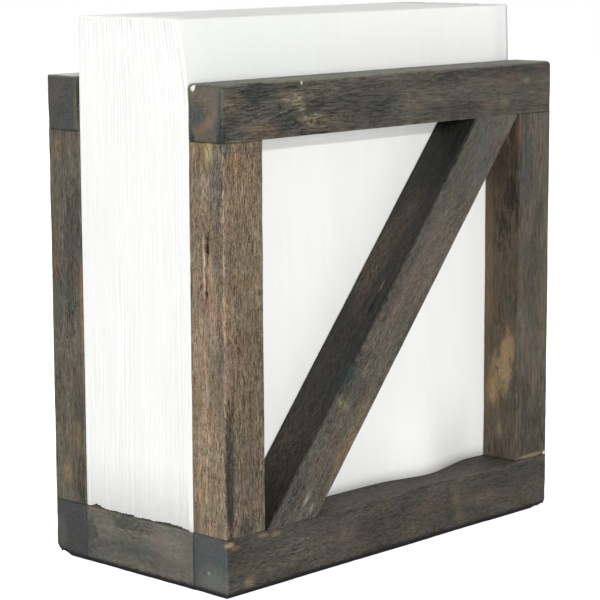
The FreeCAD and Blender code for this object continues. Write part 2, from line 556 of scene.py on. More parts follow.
@dataclass(frozen=True)
class StainedWood:
    """The stained and rubbed finish of one stick, with some painted shade and painted light among
    the patches of some sticks.

    Attributes:
        dark: where the stain took well.
        light: where the wood shows through.
        seed: moves the pattern, so that sticks differ.
        end: the smooth, soaked end grain, and the line that it makes at a joint.
        seam: how clearly that line or end grain shows, from 0 to 1.
        lightness: how much of the stick is light, from -0.5 to 0.5.
        fibre: length and width of its fibres, in millimetres.
        contrast: how strongly the fibres show at its start and at its end.
        hue: how far its colour strays to warm, cool, olive and mauve shades.
        wear: how pale its edges are rubbed.
        wear_width: how far from an edge the rubbing reaches, in millimetres.
        worn: the colour of rubbed edges.
        flecks: how clearly dark pores and pale flecks show.
        patches: its own patches, laid on in this order.
        knots: its knots.
    """

    dark: Tint
    light: Tint
    seed: float
    end: Tint = Tint(34, 33, 31)
    seam: float = 0.8
    lightness: float = 0.0
    fibre: tuple[float, float] = (9.0, 0.8)
    contrast: tuple[float, float] = (1.0, 1.0)
    hue: float = 0.5
    wear: float = 0.12
    wear_width: float = 0.8
    worn: Tint = Tint(150, 140, 122)
    flecks: float = 0.5
    patches: tuple[Patch, ...] = ()
    knots: tuple[Knot, ...] = ()

    # The shades that a colour strays between, by the output of the wood figure.
    STRAYS = (
        ("Warmth", Tint(177, 188, 190), Tint(201, 186, 172)),
        ("Tinge", Tint(187, 191, 176), Tint(191, 183, 189)),
    )
    SEED_STEPS = (3.1, 7.7, 5.3)
    # How much bands and soaking lighten the ground colour, and the grain left on soaked ends.
    BAND_SHARE, CLOUD_SHARE, END_CALM = 0.35, 0.65, 0.45
    # The fibres on which streaky patches show, and flecks to a fibre along and across it.
    PALE_FIBRES = (0.45, 0.75)
    FLECK_SIZES = (1.5, 1.2)
    # How far fibres and flecks lighten and darken a colour.
    SWING, SWING_START = 1.3, -0.62
    FLECK_STRENGTH = 0.75
    # The part of that which holds the hue. The rest adds grey, but not to ink-dark colours.
    HUE_HELD = 0.6
    GREY_LEVEL, INK_LEVEL = 0.085, 0.08
    BLACKEST = Vector((0.004, 0.004, 0.004))
    ROUGHNESS = (0.74, 0.56)
    BUMP, BUMP_HEIGHT, SHEEN = 0.5, 0.1 * MM, 0.3
    # How far inside an end the soaked line begins, and where it is full.
    END_LINE = (0.6 * MM, 0.2 * MM)

    def material(self, name: str, effects: Effects, place: Matrix, size: Vector) -> Material:
        """Builds the finish for one stick.

        Args:
            name: the material's name.
            effects: the shared shader effects.
            place: where the stick's own axes lie in the holder.
            size: the stick's length, face and depth, in metres.

        Returns:
            The material.
        """
        material, sheet, surface = open_material(name)
        position = sheet.position(place)
        seed = Vector([self.seed * step for step in self.SEED_STEPS])
        here = {"Position": position, "Seed": seed}
        length, width = self.fibre
        fibre = Vector((1.0 / length, 1.0 / width, 1.0 / width)) / MM
        along, across = self.FLECK_SIZES
        fleck = Vector((along / length, across / width, across / width)) / MM
        figure = sheet.group(effects.figure, {**here, "Fibre": fibre, "Fleck": fleck})
        cloud = sheet.group(effects.cloud, here)["Cloud"]
        mixed = sheet.math("MULTIPLY_ADD", figure["Band"], self.BAND_SHARE, self.lightness)
        mixed = sheet.math("MULTIPLY_ADD", cloud, self.CLOUD_SHARE, mixed, clamp=True)
        colour = sheet.blend(mixed, self.dark, self.light)
        edges = {**here, "Half Size": size / 2.0, "Width": self.wear_width * MM}
        wear = sheet.group(effects.arris, edges)["Wear"]
        colour = sheet.blend(sheet.math("MULTIPLY", wear, self.wear), colour, self.worn)
        ending = self._end_mask(sheet, position, size)
        colour = sheet.blend(sheet.math("MULTIPLY", ending, self.seam), colour, self.end)
        colour = self._lay_patches(sheet, effects, here, figure["Fibre"], colour)
        colour = self._grow_knots(sheet, effects, here, colour)
        for stray, low, high in self.STRAYS:
            hue = sheet.blend(figure[stray], low, high)
            colour = sheet.blend(self.hue, colour, hue, "OVERLAY")
        share = sheet.math("DIVIDE", sheet.parts(position)[0], size.x)
        contrast = sheet.span(sheet.math("ADD", share, 0.5), *self.contrast)
        calm = sheet.span(ending, 1.0, self.END_CALM)
        relief = sheet.math("SUBTRACT", figure["Fibre"], figure["Pore"])
        finish = {
            "Base Color": self._draw_fibres(sheet, figure, contrast, calm, colour),
            "Roughness": sheet.span(figure["Fibre"], *self.ROUGHNESS),
            "Normal": sheet.bump(relief, self.BUMP, self.BUMP_HEIGHT),
            "Specular IOR Level": self.SHEEN,
        }
        sheet.feed(surface, sheet.add("BsdfPrincipled", finish).outputs[0])
        return material

    def _lay_patches(
        self, sheet: NodeSheet, effects: Effects, here: dict, fibre: Socket, colour: Socket
    ) -> Socket:
        """Lays the stick's own patches over its ground colour and returns the result."""
        for patch in self.patches:
            place = {"Middle": millimetres(patch.at), "Reach": millimetres(patch.reach)}
            edge = {"Fibre": fibre, "Ragged": patch.ragged}
            mask = sheet.group(effects.patch, here | place | edge)["Mask"]
            pale = sheet.ramp(fibre, *self.PALE_FIBRES)
            fibres = sheet.span(pale, 1.0 - patch.streaky, 1.0)
            mask = sheet.math("MULTIPLY", mask, sheet.math("MULTIPLY", fibres, patch.strength))
            colour = sheet.blend(mask, colour, patch.tint)
        return colour

    def _grow_knots(
        self, sheet: NodeSheet, effects: Effects, here: dict, colour: Socket
    ) -> Socket:
        """Lays the stick's knots over its colour and returns the result."""
        for knot in self.knots:
            place = {"Middle": millimetres(knot.at), "Reach": millimetres(knot.reach)}
            rings = sheet.group(effects.knot, here | place)
            cover = sheet.math("MULTIPLY", rings["Cover"], knot.strength)
            colour = sheet.blend(cover, colour, sheet.blend(rings["Ring"], knot.heart, knot.ring))
        return colour

    def _draw_fibres(
        self, sheet: NodeSheet, figure: Sockets, contrast: Socket, calm: Socket, colour: Socket
    ) -> Socket:
        """Lightens and darkens the colour by the grain, almost without changing its hue.

        Args:
            sheet: where the nodes go.
            figure: the outputs of the wood figure.
            contrast: how strongly the fibres show.
            calm: 1 on the faces and less where the end grain is soaked.
            colour: the colour so far.

        Returns:
            The colour with its grain.
        """
        swing = sheet.math("MULTIPLY_ADD", figure["Fibre"], self.SWING, self.SWING_START)
        swing = sheet.math("MULTIPLY", swing, contrast)
        flecks = self.FLECK_STRENGTH * self.flecks
        pales = sheet.weigh((figure["Pore"], -flecks), (figure["Pale"], flecks))
        swing = sheet.math("MULTIPLY", sheet.math("ADD", swing, pales), calm)
        gain = sheet.math("MULTIPLY_ADD", swing, self.HUE_HELD, 1.0)
        lift = sheet.math("MULTIPLY", swing, (1.0 - self.HUE_HELD) * self.GREY_LEVEL)
        depth = sheet.ramp(sheet.vector_math("LENGTH", colour), 0.0, self.INK_LEVEL)
        lift = sheet.math("MULTIPLY", lift, depth)
        gains, lifts = (
            sheet.add("CombineXYZ", dict.fromkeys("XYZ", part)).outputs[0]
            for part in (gain, lift)
        )
        drawn = sheet.vector_math("MULTIPLY_ADD", colour, gains, lifts)
        return sheet.vector_math("MAXIMUM", drawn, self.BLACKEST)

    def _end_mask(self, sheet: NodeSheet, position: Socket, size: Vector) -> Socket:
        """1 on the end grain of a stick and 0 elsewhere."""
        along = sheet.math("ABSOLUTE", sheet.parts(position)[0])
        start, full = (size.x / 2.0 - inside for inside in self.END_LINE)
        return sheet.ramp(along, start, full)


@dataclass(frozen=True)
class NapkinPaper:
    """Soft white paper with a dimpled face.

    Attributes:
        white: the colour of its high parts.
        shade: the colour of its hollows.
        pressed_shade: the colour of its pressed border, laid on most in the crepe's hollows:
            partly the embossing, partly painted shade.
        shaded_border: heights where that border begins and is full, if it has one.
        fade: places along the holder where the border is full and where it has gone.
    """

    white: Tint = Tint(253, 253, 251)
    shade: Tint = Tint(249, 250, 248)
    pressed_shade: Tint = Tint(241, 243, 240)
    shaded_border: tuple[float, float] | None = None
    fade: tuple[float, float] = (-80 * MM, 110 * MM)

    PRESSED_HOLLOWS = (1.35, 0.65)
    ROUGHNESS = (0.95, 0.88)
    BUMP, BUMP_HEIGHT, SHEEN = 0.25, 0.1 * MM, 0.15

    def material(self, name: str, effects: Effects) -> Material:
        """Builds the paper's material and returns it."""
        material, sheet, surface = open_material(name)
        position = sheet.position(Matrix.Identity(4))
        crepe = sheet.group(effects.crepe, {"Position": position})
        colour = sheet.blend(crepe["Tone"], self.shade, self.white)
        # Painted shade with the embossing: the border strip greyed, most at the left end and in
        # the crepe's hollows.
        if self.shaded_border:
            along, _, height = sheet.parts(position)
            gone, full = reversed(self.fade)
            reach = sheet.ramp(along, gone, full)
            mask = sheet.math("MULTIPLY", sheet.ramp(height, *self.shaded_border), reach)
            hollows = sheet.span(crepe["Height"], *self.PRESSED_HOLLOWS)
            mask = sheet.math("MULTIPLY", mask, hollows)
            colour = sheet.blend(mask, colour, self.pressed_shade)
        finish = {
            "Base Color": colour,
            "Roughness": sheet.span(crepe["Tone"], *self.ROUGHNESS),
            "Normal": sheet.bump(crepe["Height"], self.BUMP, self.BUMP_HEIGHT),
            "Specular IOR Level": self.SHEEN,
        }
        sheet.feed(surface, sheet.add("BsdfPrincipled", finish).outputs[0])
        return material


@dataclass(frozen=True)
class BradSteel:
    """Bright drawn wire with fine scratches along it.

    Attributes:
        bright: the colour of the smooth wire.
        dull: the colour of its scratches.
        scratches: scratches to the metre along each axis.
        pits: pits to the metre along each axis.
    """

    bright: Tint = Tint(178, 180, 182)
    dull: Tint = Tint(120, 121, 122)
    scratches: Triple = (3000.0, 3000.0, 150.0)
    pits: Triple = (900.0, 900.0, 900.0)

    SEED = (1.0, 2.0, 3.0)
    ROUGHNESS = (0.3, 0.55)

    def material(self, name: str, effects: Effects) -> Material:
        """Builds the steel's material and returns it."""
        material, sheet, surface = open_material(name)
        feeds = {
            "Position": sheet.position(Matrix.Identity(4)),
            "Seed": self.SEED,
            "Fibre": self.scratches,
            "Fleck": self.pits,
        }
        figure = sheet.group(effects.figure, feeds)
        finish = {
            "Base Color": sheet.blend(figure["Fibre"], self.dull, self.bright),
            "Roughness": sheet.span(figure["Pore"], *self.ROUGHNESS),
            "Metallic": 1.0,
        }
        sheet.feed(surface, sheet.add("BsdfPrincipled", finish).outputs[0])
        return material


# ---------------------------------------------------------------- sticks


@dataclass(frozen=True)
class Knock:
    """A dent or a rubbed-away corner, in millimetres from the stick's middle."""

    at: Triple
    reach: Triple
    depth: float


@dataclass(frozen=True)
class Split:
    """A drying crack that opens along the grain, in millimetres from the stick's middle."""

    start: Triple
    end: Triple
    width: float
    depth: float


@dataclass
class Stick:
    """One stick, in its own axes: along the grain, across its face, and to the front.

    Attributes:
        node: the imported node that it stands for.
        place: sets its own axes in the holder.
        size: length, face and depth, in metres.
        wood: its finish.
        outer: the side of its face that lies outside the frame, 1, -1 or 0 for neither.
        corner: rounding of its two outer corners, in metres.
        ending: how its ends are left.
        is_flush_behind: whether other sticks meet its back, which therefore stays square.
        end_normal: the normal of a sloping end cut, or None for a square one.
        end_height: distance of the end cuts from its middle, along that normal.
        knocks: its dents.
        splits: its cracks.
    """

    node: str
    place: Matrix
    size: Vector
    wood: StainedWood
    outer: int = 0
    corner: float = 0.0
    ending: Ending = Ending.BUTT
    is_flush_behind: bool = False
    end_normal: Vector | None = None
    end_height: float = 0.0
    knocks: tuple[Knock, ...] = ()
    splits: tuple[Split, ...] = ()

    @classmethod
    def along_axis(
        cls, node: str, turn: Matrix, along: Vector, front: Vector, **details: object
    ) -> "Stick":
        """A square-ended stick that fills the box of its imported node.

        Args:
            node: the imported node.
            turn: how the stick's frame is turned in the holder.
            along: the grain's direction, in the frame's own axes.
            front: the direction of the stick's front face.
            details: the other fields of a Stick.

        Returns:
            The stick.
        """
        low, high = turned_box(node, turn)
        across = front.cross(along)
        axes = Matrix((along, across, front)).transposed()
        span = high - low
        size = Vector([abs(span.dot(axis)) for axis in (along, across, front)])
        place = turn @ Matrix.Translation((low + high) / 2.0) @ axes.to_4x4()
        return cls(node=node, place=place, size=size, **details)

    @classmethod
    def brace(cls, node: str, turn: Matrix, **details: object) -> "Stick":
        """A diagonal between two corners of a frame, cut level at both ends.

        Args:
            node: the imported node.
            turn: how its frame is turned in the holder.
            details: the other fields of a Stick.

        Returns:
            The stick.
        """
        low, high = turned_box(node, turn)
        back = turn.inverted()
        points = [back @ vertex.co for vertex in frame["nodes"][node].data.vertices]
        foot = [point.x for point in points if point.z < low.z + 0.01 * MM]
        cut = max(foot) - min(foot)
        run = high.x - low.x - cut
        rise = high.z - low.z
        along = Vector((run, 0.0, rise)).normalized()
        across = FRONT_AXIS.cross(along)
        axes = Matrix((along, across, FRONT_AXIS)).transposed()
        length = math.hypot(run, rise) + cut * along.x
        size = Vector((length, cut * along.z, high.y - low.y))
        place = turn @ Matrix.Translation((low + high) / 2.0) @ axes.to_4x4()
        return cls(
            node=node,
            place=place,
            size=size,
            end_normal=axes.transposed() @ UPRIGHT_AXIS,
            end_height=rise / 2.0,
            **details,
        )


@dataclass
class StickBench:
    """Shapes, ages and finishes sticks.

    Attributes:
        effects: the shared shader effects.
        outer_easing: rounding of the edges outside a frame.
        window_easing: rounding of the long edges in its window.
        joint_easing: rounding at a butt joint.
        cell: spacing of the cuts that make a stick's surface fine enough to age.
        arris_reach: how far from an edge the wear reaches.
        arris_wear: how deep the wear goes.
        face_wear: how deep the hollows in the faces are.
    """

    effects: Effects
    outer_easing: float = 0.65 * MM
    window_easing: float = 0.35 * MM
    joint_easing: float = 0.15 * MM
    cell: float = 2.0 * MM
    arris_reach: float = 1.7 * MM
    arris_wear: float = 0.22 * MM
    face_wear: float = 0.07 * MM

    LEAST_CORNER = math.radians(40.0)
    ROUNDING_STEPS = 4
    TINY = 0.01 * MM
    # How much of an edge's direction runs along an axis.
    NEARLY_ALL, HALF = 0.9, 0.5
    SEED_STEPS = (11.3, 4.9, 2.3)
    # Sizes of the waves and marks that ageing leaves, in millimetres, and their strength.
    WAVES = (17, 7, 7)
    MARKS = (3.5, 2.5, 2.5)
    RUB_LEVEL, MARK_SHARE = 0.25, 0.45
    HOLLOW_STRETCH = 0.8
    KNOCK_STRETCH, KNOCK_RAGGED, KNOCK_CORE = 1.7, 0.25, 0.2
    # How far a crack strays and at what step, and how far round it the cells are refined.
    CRACK_STRAY, CRACK_STEP, CRACK_ROW = 0.7 * MM, 3.0 * MM, (0.3, 0.7)
    CRACK_CELLS = (1.6 * MM, 0.9 * MM)

    def make(self, stick: Stick) -> None:
        """Builds one stick and sets it in place."""
        shape = bmesh.new()
        bmesh.ops.create_cube(shape, size=1.0)
        bmesh.ops.scale(shape, vec=stick.size, verts=shape.verts)
        if stick.end_normal:
            self._cut_ends(shape, stick)
        self._ease(shape, stick)
        self._slice(shape, stick)
        for split in stick.splits:
            self._refine(shape, split)
        self._age(shape, stick)
        for split in stick.splits:
            self._open(shape, split)
        self._hold_inside(shape, stick)
        bmesh.ops.transform(shape, matrix=stick.place, verts=shape.verts)
        material = stick.wood.material(
            f"{stick.node}_stain", self.effects, stick.place, stick.size
        )
        add_piece(f"{stick.node}_wood", shape, material, stick.node)

    @staticmethod
    def _cut(shape: Shape, height: float, normal: Vector, **settings: object) -> list:
        """Cuts a shape by the plane at a height along its normal, and returns the cut."""
        everything = shape.verts[:] + shape.edges[:] + shape.faces[:]
        return bmesh.ops.bisect_plane(
            shape, geom=everything, plane_co=normal * height, plane_no=normal, **settings
        )["geom_cut"]

    def _cut_ends(self, shape: Shape, stick: Stick) -> None:
        """Cuts both ends of a sloping stick level and closes them."""
        for way in (-1.0, 1.0):
            cut = self._cut(shape, stick.end_height, stick.end_normal * way, clear_outer=True)
            rim = [part for part in cut if isinstance(part, bmesh.types.BMEdge)]
            bmesh.ops.edgeloop_fill(shape, edges=rim)

    def _ease(self, shape: Shape, stick: Stick) -> None:
        """Rounds the edges of a stick as sanding does."""
        half = stick.size / 2.0 - Vector((self.TINY,) * 3)

        def is_face(middle: Vector) -> bool:
            return (middle.z if stick.is_flush_behind else abs(middle.z)) > half.z

        def is_inner(middle: Vector) -> bool:
            return middle.y * stick.outer < -half.y

        def is_corner(middle: Vector, way: Vector) -> bool:
            return abs(way.z) > self.NEARLY_ALL and middle.y * stick.outer > half.y

        def is_end(middle: Vector, way: Vector) -> bool:
            return abs(way.x) < self.HALF and abs(middle.x) > half.x

        def is_outer_edge(middle: Vector, way: Vector) -> bool:
            is_kept = is_end(middle, way) and stick.ending is not Ending.OPEN
            return is_face(middle) and not is_inner(middle) and not is_kept

        def is_window_edge(middle: Vector, way: Vector) -> bool:
            return is_face(middle) and is_inner(middle) and abs(way.x) > self.HALF

        def is_long_edge(middle: Vector, way: Vector) -> bool:
            return is_face(middle) and abs(way.x) > self.NEARLY_ALL

        if stick.corner:
            self._round(shape, is_corner, stick.corner)
        if stick.outer:
            self._round(shape, is_outer_edge, self.outer_easing)
            self._round(shape, is_window_edge, self.window_easing)
        else:
            self._round(shape, is_long_edge, self.window_easing)
        if stick.ending is Ending.BUTT:
            self._round(shape, is_end, self.joint_easing)

    def _round(
        self, shape: Shape, wanted: Callable[[Vector, Vector], bool], radius: float
    ) -> None:
        """Rounds the sharp edges whose middle and direction pass a test."""
        chosen = []
        for edge in shape.edges:
            first, second = (vert.co for vert in edge.verts)
            middle, way = (first + second) / 2.0, (second - first).normalized()
            if edge.calc_face_angle(0.0) > self.LEAST_CORNER and wanted(middle, way):
                chosen.append(edge)
        if chosen:
            bmesh.ops.bevel(
                shape, geom=chosen, offset=radius, segments=self.ROUNDING_STEPS, profile=0.5,
                affect="EDGES", material=-1, clamp_overlap=True,
            )

    def _slice(self, shape: Shape, stick: Stick) -> None:
        """Cuts a stick's surface into small cells."""
        for axis in range(3):
            normal = Vector([float(axis == i) for i in range(3)])
            count = int(stick.size[axis] / self.cell)
            for step in range(1, count):
                place = stick.size[axis] * (step / count - 0.5)
                self._cut(shape, place, normal, dist=0.001 * MM)
        bmesh.ops.subdivide_edges(shape, edges=shape.edges, cuts=1, use_grid_fill=True)

    def _age(self, shape: Shape, stick: Stick) -> None:
        """Wears the edges of a stick, hollows its faces a little and dents it."""
        shape.normal_update()
        half = stick.size / 2.0
        shift = Vector([stick.wood.seed * step for step in self.SEED_STEPS])
        pushes = []
        for vert in shape.verts:
            here = vert.co
            gaps = sorted(half[i] - abs(here[i]) for i in range(3))
            edge = max(0.0, 1.0 - gaps[1] / self.arris_reach)
            wave = Vector([here[i] / (self.WAVES[i] * MM) for i in range(3)])
            mark = Vector([here[i] / (self.MARKS[i] * MM) for i in range(3)])
            rub = self.RUB_LEVEL + noise.noise(wave + shift)
            rub = max(0.0, rub + self.MARK_SHARE * noise.noise(mark + shift))
            hollow = 0.5 + 0.5 * noise.noise(wave * self.HOLLOW_STRETCH - shift)
            push = edge * edge * rub * self.arris_wear + hollow * self.face_wear * (1.0 - edge)
            for knock in stick.knocks:
                away, reach = here - millimetres(knock.at), millimetres(knock.reach)
                far = Vector([away[i] / reach[i] for i in range(3)]).length
                far += self.KNOCK_RAGGED * noise.noise(mark * self.KNOCK_STRETCH)
                push += knock.depth * MM * (1.0 - smooth_step(self.KNOCK_CORE, 1.0, far))
            pushes.append(push)
        for vert, push in zip(shape.verts, pushes):
            vert.co -= vert.normal * push

    def _near(self, shape: Shape, split: Split, reach: float) -> dict:
        """The vertices beside a crack.

        Args:
            shape: the stick's shape.
            split: the crack.
            reach: how far from the crack's line they may lie.

        Returns:
            Each vertex with how far along the crack it lies, from 0 to 1, and how far off.
        """
        start, end = millimetres(split.start), millimetres(split.end)
        line = end - start
        is_on_side = abs(split.start[1]) > abs(split.start[2])
        side = Vector((0.0, 0.0, 1.0)) if is_on_side else Vector((0.0, 1.0, 0.0))
        found = {}
        for vert in shape.verts:
            share = (vert.co - start).dot(line) / line.length_squared
            held = min(1.0, max(0.0, share))
            step = Vector((held * line.length / self.CRACK_STEP, *self.CRACK_ROW))
            wander = self.CRACK_STRAY * noise.noise(step)
            far = (vert.co - start - line * held - side * wander).length
            if far < reach:
                found[vert] = (share, far)
        return found

    def _refine(self, shape: Shape, split: Split) -> None:
        """Makes the cells round a crack fine enough to open it."""
        for reach in self.CRACK_CELLS:
            near = self._near(shape, split, reach)
            edges = [e for e in shape.edges if e.verts[0] in near and e.verts[1] in near]
            bmesh.ops.subdivide_edges(shape, edges=edges, cuts=1, use_grid_fill=True)

    def _open(self, shape: Shape, split: Split) -> None:
        """Pushes the middle of a crack into the wood."""
        shape.normal_update()
        half_width = split.width * MM / 2.0
        for vert, (share, far) in self._near(shape, split, half_width).items():
            if 0.0 <= share <= 1.0:
                taper = math.sin(math.pi * share) ** 0.5
                vert.co -= vert.normal * split.depth * MM * taper * (1.0 - far / half_width)

    @staticmethod
    def _hold_inside(shape: Shape, stick: Stick) -> None:
        """Keeps every vertex inside the stick's own length, face and depth."""
        half = stick.size / 2.0
        for vert in shape.verts:
            vert.co = Vector([max(-half[i], min(half[i], vert.co[i])) for i in range(3)])


@dataclass
class BracedFrame:
    """One of the two frames: two rails, two stiles and the brace between them.

    Attributes:
        side: which frame it is. The back one is the front one turned half round.
        woods: the finish of each stick, by the last part of its node's name.
        knocks: the dents of each stick, in the same way.
        splits: the cracks of each stick, in the same way.
        TOP_CORNERS: rounding of the top rail's two upper corners.
        BOTTOM_CORNERS: rounding of the bottom rail's two lower corners.
    """

    side: Side
    woods: dict[str, StainedWood]
    knocks: dict[str, tuple[Knock, ...]] = field(default_factory=dict)
    splits: dict[str, tuple[Split, ...]] = field(default_factory=dict)

    TOP_CORNERS = {Side.FRONT: 1.8 * MM, Side.BACK: 0.6 * MM}
    BOTTOM_CORNERS = 0.6 * MM

    def _details(self, part: str) -> dict:
        """The finish and the damage of one stick."""
        return {
            "wood": self.woods[part],
            "knocks": self.knocks.get(part, ()),
            "splits": self.splits.get(part, ()),
        }

    def sticks(self) -> list[Stick]:
        """The frame's five sticks."""
        turn = Matrix.Rotation(math.pi if self.side is Side.BACK else 0.0, 4, "Z")
        name = self.side.value
        made = []
        top, bottom = self.TOP_CORNERS[self.side], self.BOTTOM_CORNERS
        for part, outer, corner in (("top_rail", 1, top), ("bottom_rail", -1, bottom)):
            made.append(
                Stick.along_axis(
                    f"{name}_{part}", turn, LEVEL_AXIS, FRONT_AXIS,
                    outer=outer, corner=corner, ending=Ending.OPEN,
                    is_flush_behind=part == "bottom_rail", **self._details(part),
                )
            )
        for part, outer in (("left_stile", 1), ("right_stile", -1)):
            made.append(
                Stick.along_axis(
                    f"{name}_{part}", turn, UPRIGHT_AXIS, FRONT_AXIS,
                    outer=outer, **self._details(part),
                )
            )
        made.append(Stick.brace(f"{name}_brace", turn, **self._details("brace")))
        return made

    def build(self, bench: StickBench) -> None:
        """Builds every stick of the frame on the bench."""
        for stick in self.sticks():
            bench.make(stick)


@dataclass
class Base:
    """The cross rails that tie the two frames together and carry the napkins."""

    woods: dict[str, StainedWood]

    def build(self, bench: StickBench) -> None:
        """Builds the three cross rails on the bench."""
        for name, wood in self.woods.items():
            stick = Stick.along_axis(
                f"{name}_cross_rail", Matrix.Identity(4), DEEP_AXIS, LEVEL_AXIS,
                outer=-1, ending=Ending.FLUSH, wood=wood,
            )
            bench.make(stick)


@dataclass
class Brads:
    """The flat-wire brads inside the joints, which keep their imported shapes."""

    nodes: tuple[str, ...] = ("front_frame_brads", "back_frame_brads", "cross_rail_brads")
    steel: BradSteel = BradSteel()

    def dress(self, effects: Effects) -> None:
        """Gives each group of brads its steel."""
        material = self.steel.material("brad_wire", effects)
        for node in self.nodes:
            brads = frame["nodes"][node]
            brads.data.materials.clear()
            brads.data.materials.append(material)
            log.info("%s: packed shape, steel finish", node)


# ---------------------------------------------------------------- napkins


@dataclass
class NapkinFill:
    """The folded napkins in the slot: the front one by itself, and the rest as a stack.

    Every napkin is a folded sheet round a second folded sheet, with the folds at the top.
    The stack's thickness is measured as a share, from 0 at its front to 1 at its back.

    Attributes:
        paper: the napkins' finish.
        front_paper: the front napkin's finish, whose top strip carries a pressed border with
            painted shade.
        count: napkins in all.
        sheets: folded sheets in one napkin, one inside the other.
        leaf: thickness of a folded sheet's one leaf.
        lean_start: height at which the napkins begin to lean.
        lean_bend: how curved the lean is, where 1 is straight.
        left_lean: how far the stack's front leans in at the top of its left end.
        right_lean: the same at its right end.
        back_lean: how far its back leans in.
        belly: how far the front bulges over the rail in the lower window.
        belly_x: where it bulges most.
        wander: how far the middle of the stack strays from its place.
        ragged: how unevenly the leaves' side edges lie.
        hem: how unevenly their lower edges end.
        rest: how far the lowest edges lie above the base.
        press: how far the soft front swells towards the frame.
        splay: how far the last leaves spread over the back rail at their foot.
        hollow: how far the front leaves draw back beside the bulge.
        curl: how far they draw back at their right edge.
        wave: how far they wave along the front.
        seed: of the random draws.
        HEMS: how far leaves end above the base, in millimetres, by place in the stack.
    """

    paper: NapkinPaper = NapkinPaper()
    # The front napkin's top strip is greyed: a pressed border, partly painted shade.
    front_paper: NapkinPaper = NapkinPaper(shaded_border=(156 * MM, 168 * MM))
    count: int = 30
    sheets: int = 2
    leaf: float = 0.41 * MM
    lean_start: float = 154.0 * MM
    lean_bend: float = 1.5
    left_lean: float = 5.0 * MM
    right_lean: float = 0.9 * MM
    back_lean: float = 0.6 * MM
    belly: float = 4.5 * MM
    belly_x: float = 30.0 * MM
    wander: float = 1.6 * MM
    ragged: float = 0.05 * MM
    hem: float = 0.5 * MM
    rest: float = 0.03 * MM
    press: float = 0.2 * MM
    splay: float = 0.6 * MM
    hollow: float = 0.8 * MM
    curl: float = 0.9 * MM
    wave: float = 0.15 * MM
    seed: int = 7

    HEMS = (
        (0.0, 0.4), (0.04, 0.5), (0.13, 1.0), (0.235, 1.1), (0.35, 0.5), (0.43, 0.65),
        (0.5, 0.3), (0.55, 0.75), (0.655, 0.45), (0.717, 0.7), (0.78, 0.35), (0.82, 0.5),
        (0.87, 1.2), (0.92, 1.7), (0.96, 0.5), (1.0, 0.4),
    )
    # Gaps between the sheets of a napkin and, as a share of the stack, between napkins.
    LEAF_GAP = 0.02 * MM
    NAPKIN_GAP = 0.0003
    # How unevenly folds lie, in millimetres, how far hems swing, and how fast edges fray.
    FOLD_DROP, HEM_SWING, FRAY_STEP = 0.2, 0.3, 0.4
    # Cells round a fold, and along and up a leaf, which crowd towards the fold.
    FOLD_STEPS = 6
    FRONT_CELLS = (110, 90)
    STACK_CELLS = (12, 14)
    ROW_CROWDING = 0.8
    # Lifted leaves: how much of the lift is left, and how far from the ends it shows.
    LEAST_LIFT = 0.08
    LEFT_LIFT = (8 * MM, 36 * MM)
    RIGHT_LIFT = 24 * MM
    # The back foot: its height, its ends beside the stile and the brace, its napkins.
    BACK_FOOT = 12 * MM
    BESIDE_STILE = (21 * MM, 29 * MM)
    BESIDE_BRACE = (24 * MM, 32 * MM)
    LAST_NAPKINS = (0.9, 1.0)
    # The front: the napkins that stray, how fast that fades, its foot's height, and the
    # widths of the bulge, the hollow beside it and the curled edge.
    FRONT_SHARE = 0.35
    FRONT_FADE = 14.0
    FRONT_FOOT = 38 * MM
    BULGE_WIDTH = 15 * MM
    HOLLOW_X, HOLLOW_WIDTH = 57 * MM, 7 * MM
    CURL_WIDTH = 9 * MM
    # Waves in the front and in the stack: widths along and up the holder, and the slant.
    LONG_WAVE = (13 * MM, 85 * MM)
    SHORT_WAVE = (6 * MM, 50 * MM)
    SLANT = 40 * MM
    STRAY_COUNT, STRAY_HEIGHT = 2.5, 70 * MM

    def __post_init__(self) -> None:
        """Takes the stack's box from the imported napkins."""
        low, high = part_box("front_napkin")
        stack_low, stack_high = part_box("napkin_stack")
        self.low = Vector(map(min, low, stack_low)) - Vector((0.0, self.press, 0.0))
        self.high = Vector(map(max, high, stack_high))
        self.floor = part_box("front_bottom_rail")[1].z + self.rest
        self.random = random.Random(self.seed)

    def depth_at(self, share: float, x: float, z: float) -> float:
        """The Y of the paper at a place in the stack.

        Args:
            share: how deep in the stack, from 0 at the front to 1 at the back.
            x: place along the stack.
            z: height.

        Returns:
            The Y, in metres.
        """
        end = (x - self.low.x) / (self.high.x - self.low.x)
        front_lean = self.left_lean + (self.right_lean - self.left_lean) * end
        lean = front_lean + (-self.back_lean - front_lean) * share
        above = max(0.0, (z - self.lean_start) / (self.high.z - self.lean_start))
        depth = self.low.y + (self.high.y - self.low.y) * share + lean * above**self.lean_bend
        middle = 4.0 * share * (1.0 - share)
        stray = noise.noise(Vector((share * self.STRAY_COUNT, z / self.STRAY_HEIGHT, 1.7)))
        depth += self.wander * middle * stray
        return depth + self._front_relief(share, x, z) + self._back_relief(share, x, z)

    def _foot(self, height: float, z: float) -> float:
        """1 at the foot of the napkins and 0 from some height above it."""
        return 1.0 - smooth_step(self.low.z, self.low.z + height, z)

    def _back_relief(self, share: float, x: float, z: float) -> float:
        """How far the last few napkins spread over the back rail at their foot."""
        foot = self._foot(self.BACK_FOOT, z)
        beside_stile = smooth_step(*(self.low.x + away for away in self.BESIDE_STILE), x)
        beside_brace = 1.0 - smooth_step(*self.BESIDE_BRACE, x)
        last = smooth_step(*self.LAST_NAPKINS, share)
        return self.splay * foot * beside_stile * beside_brace * last

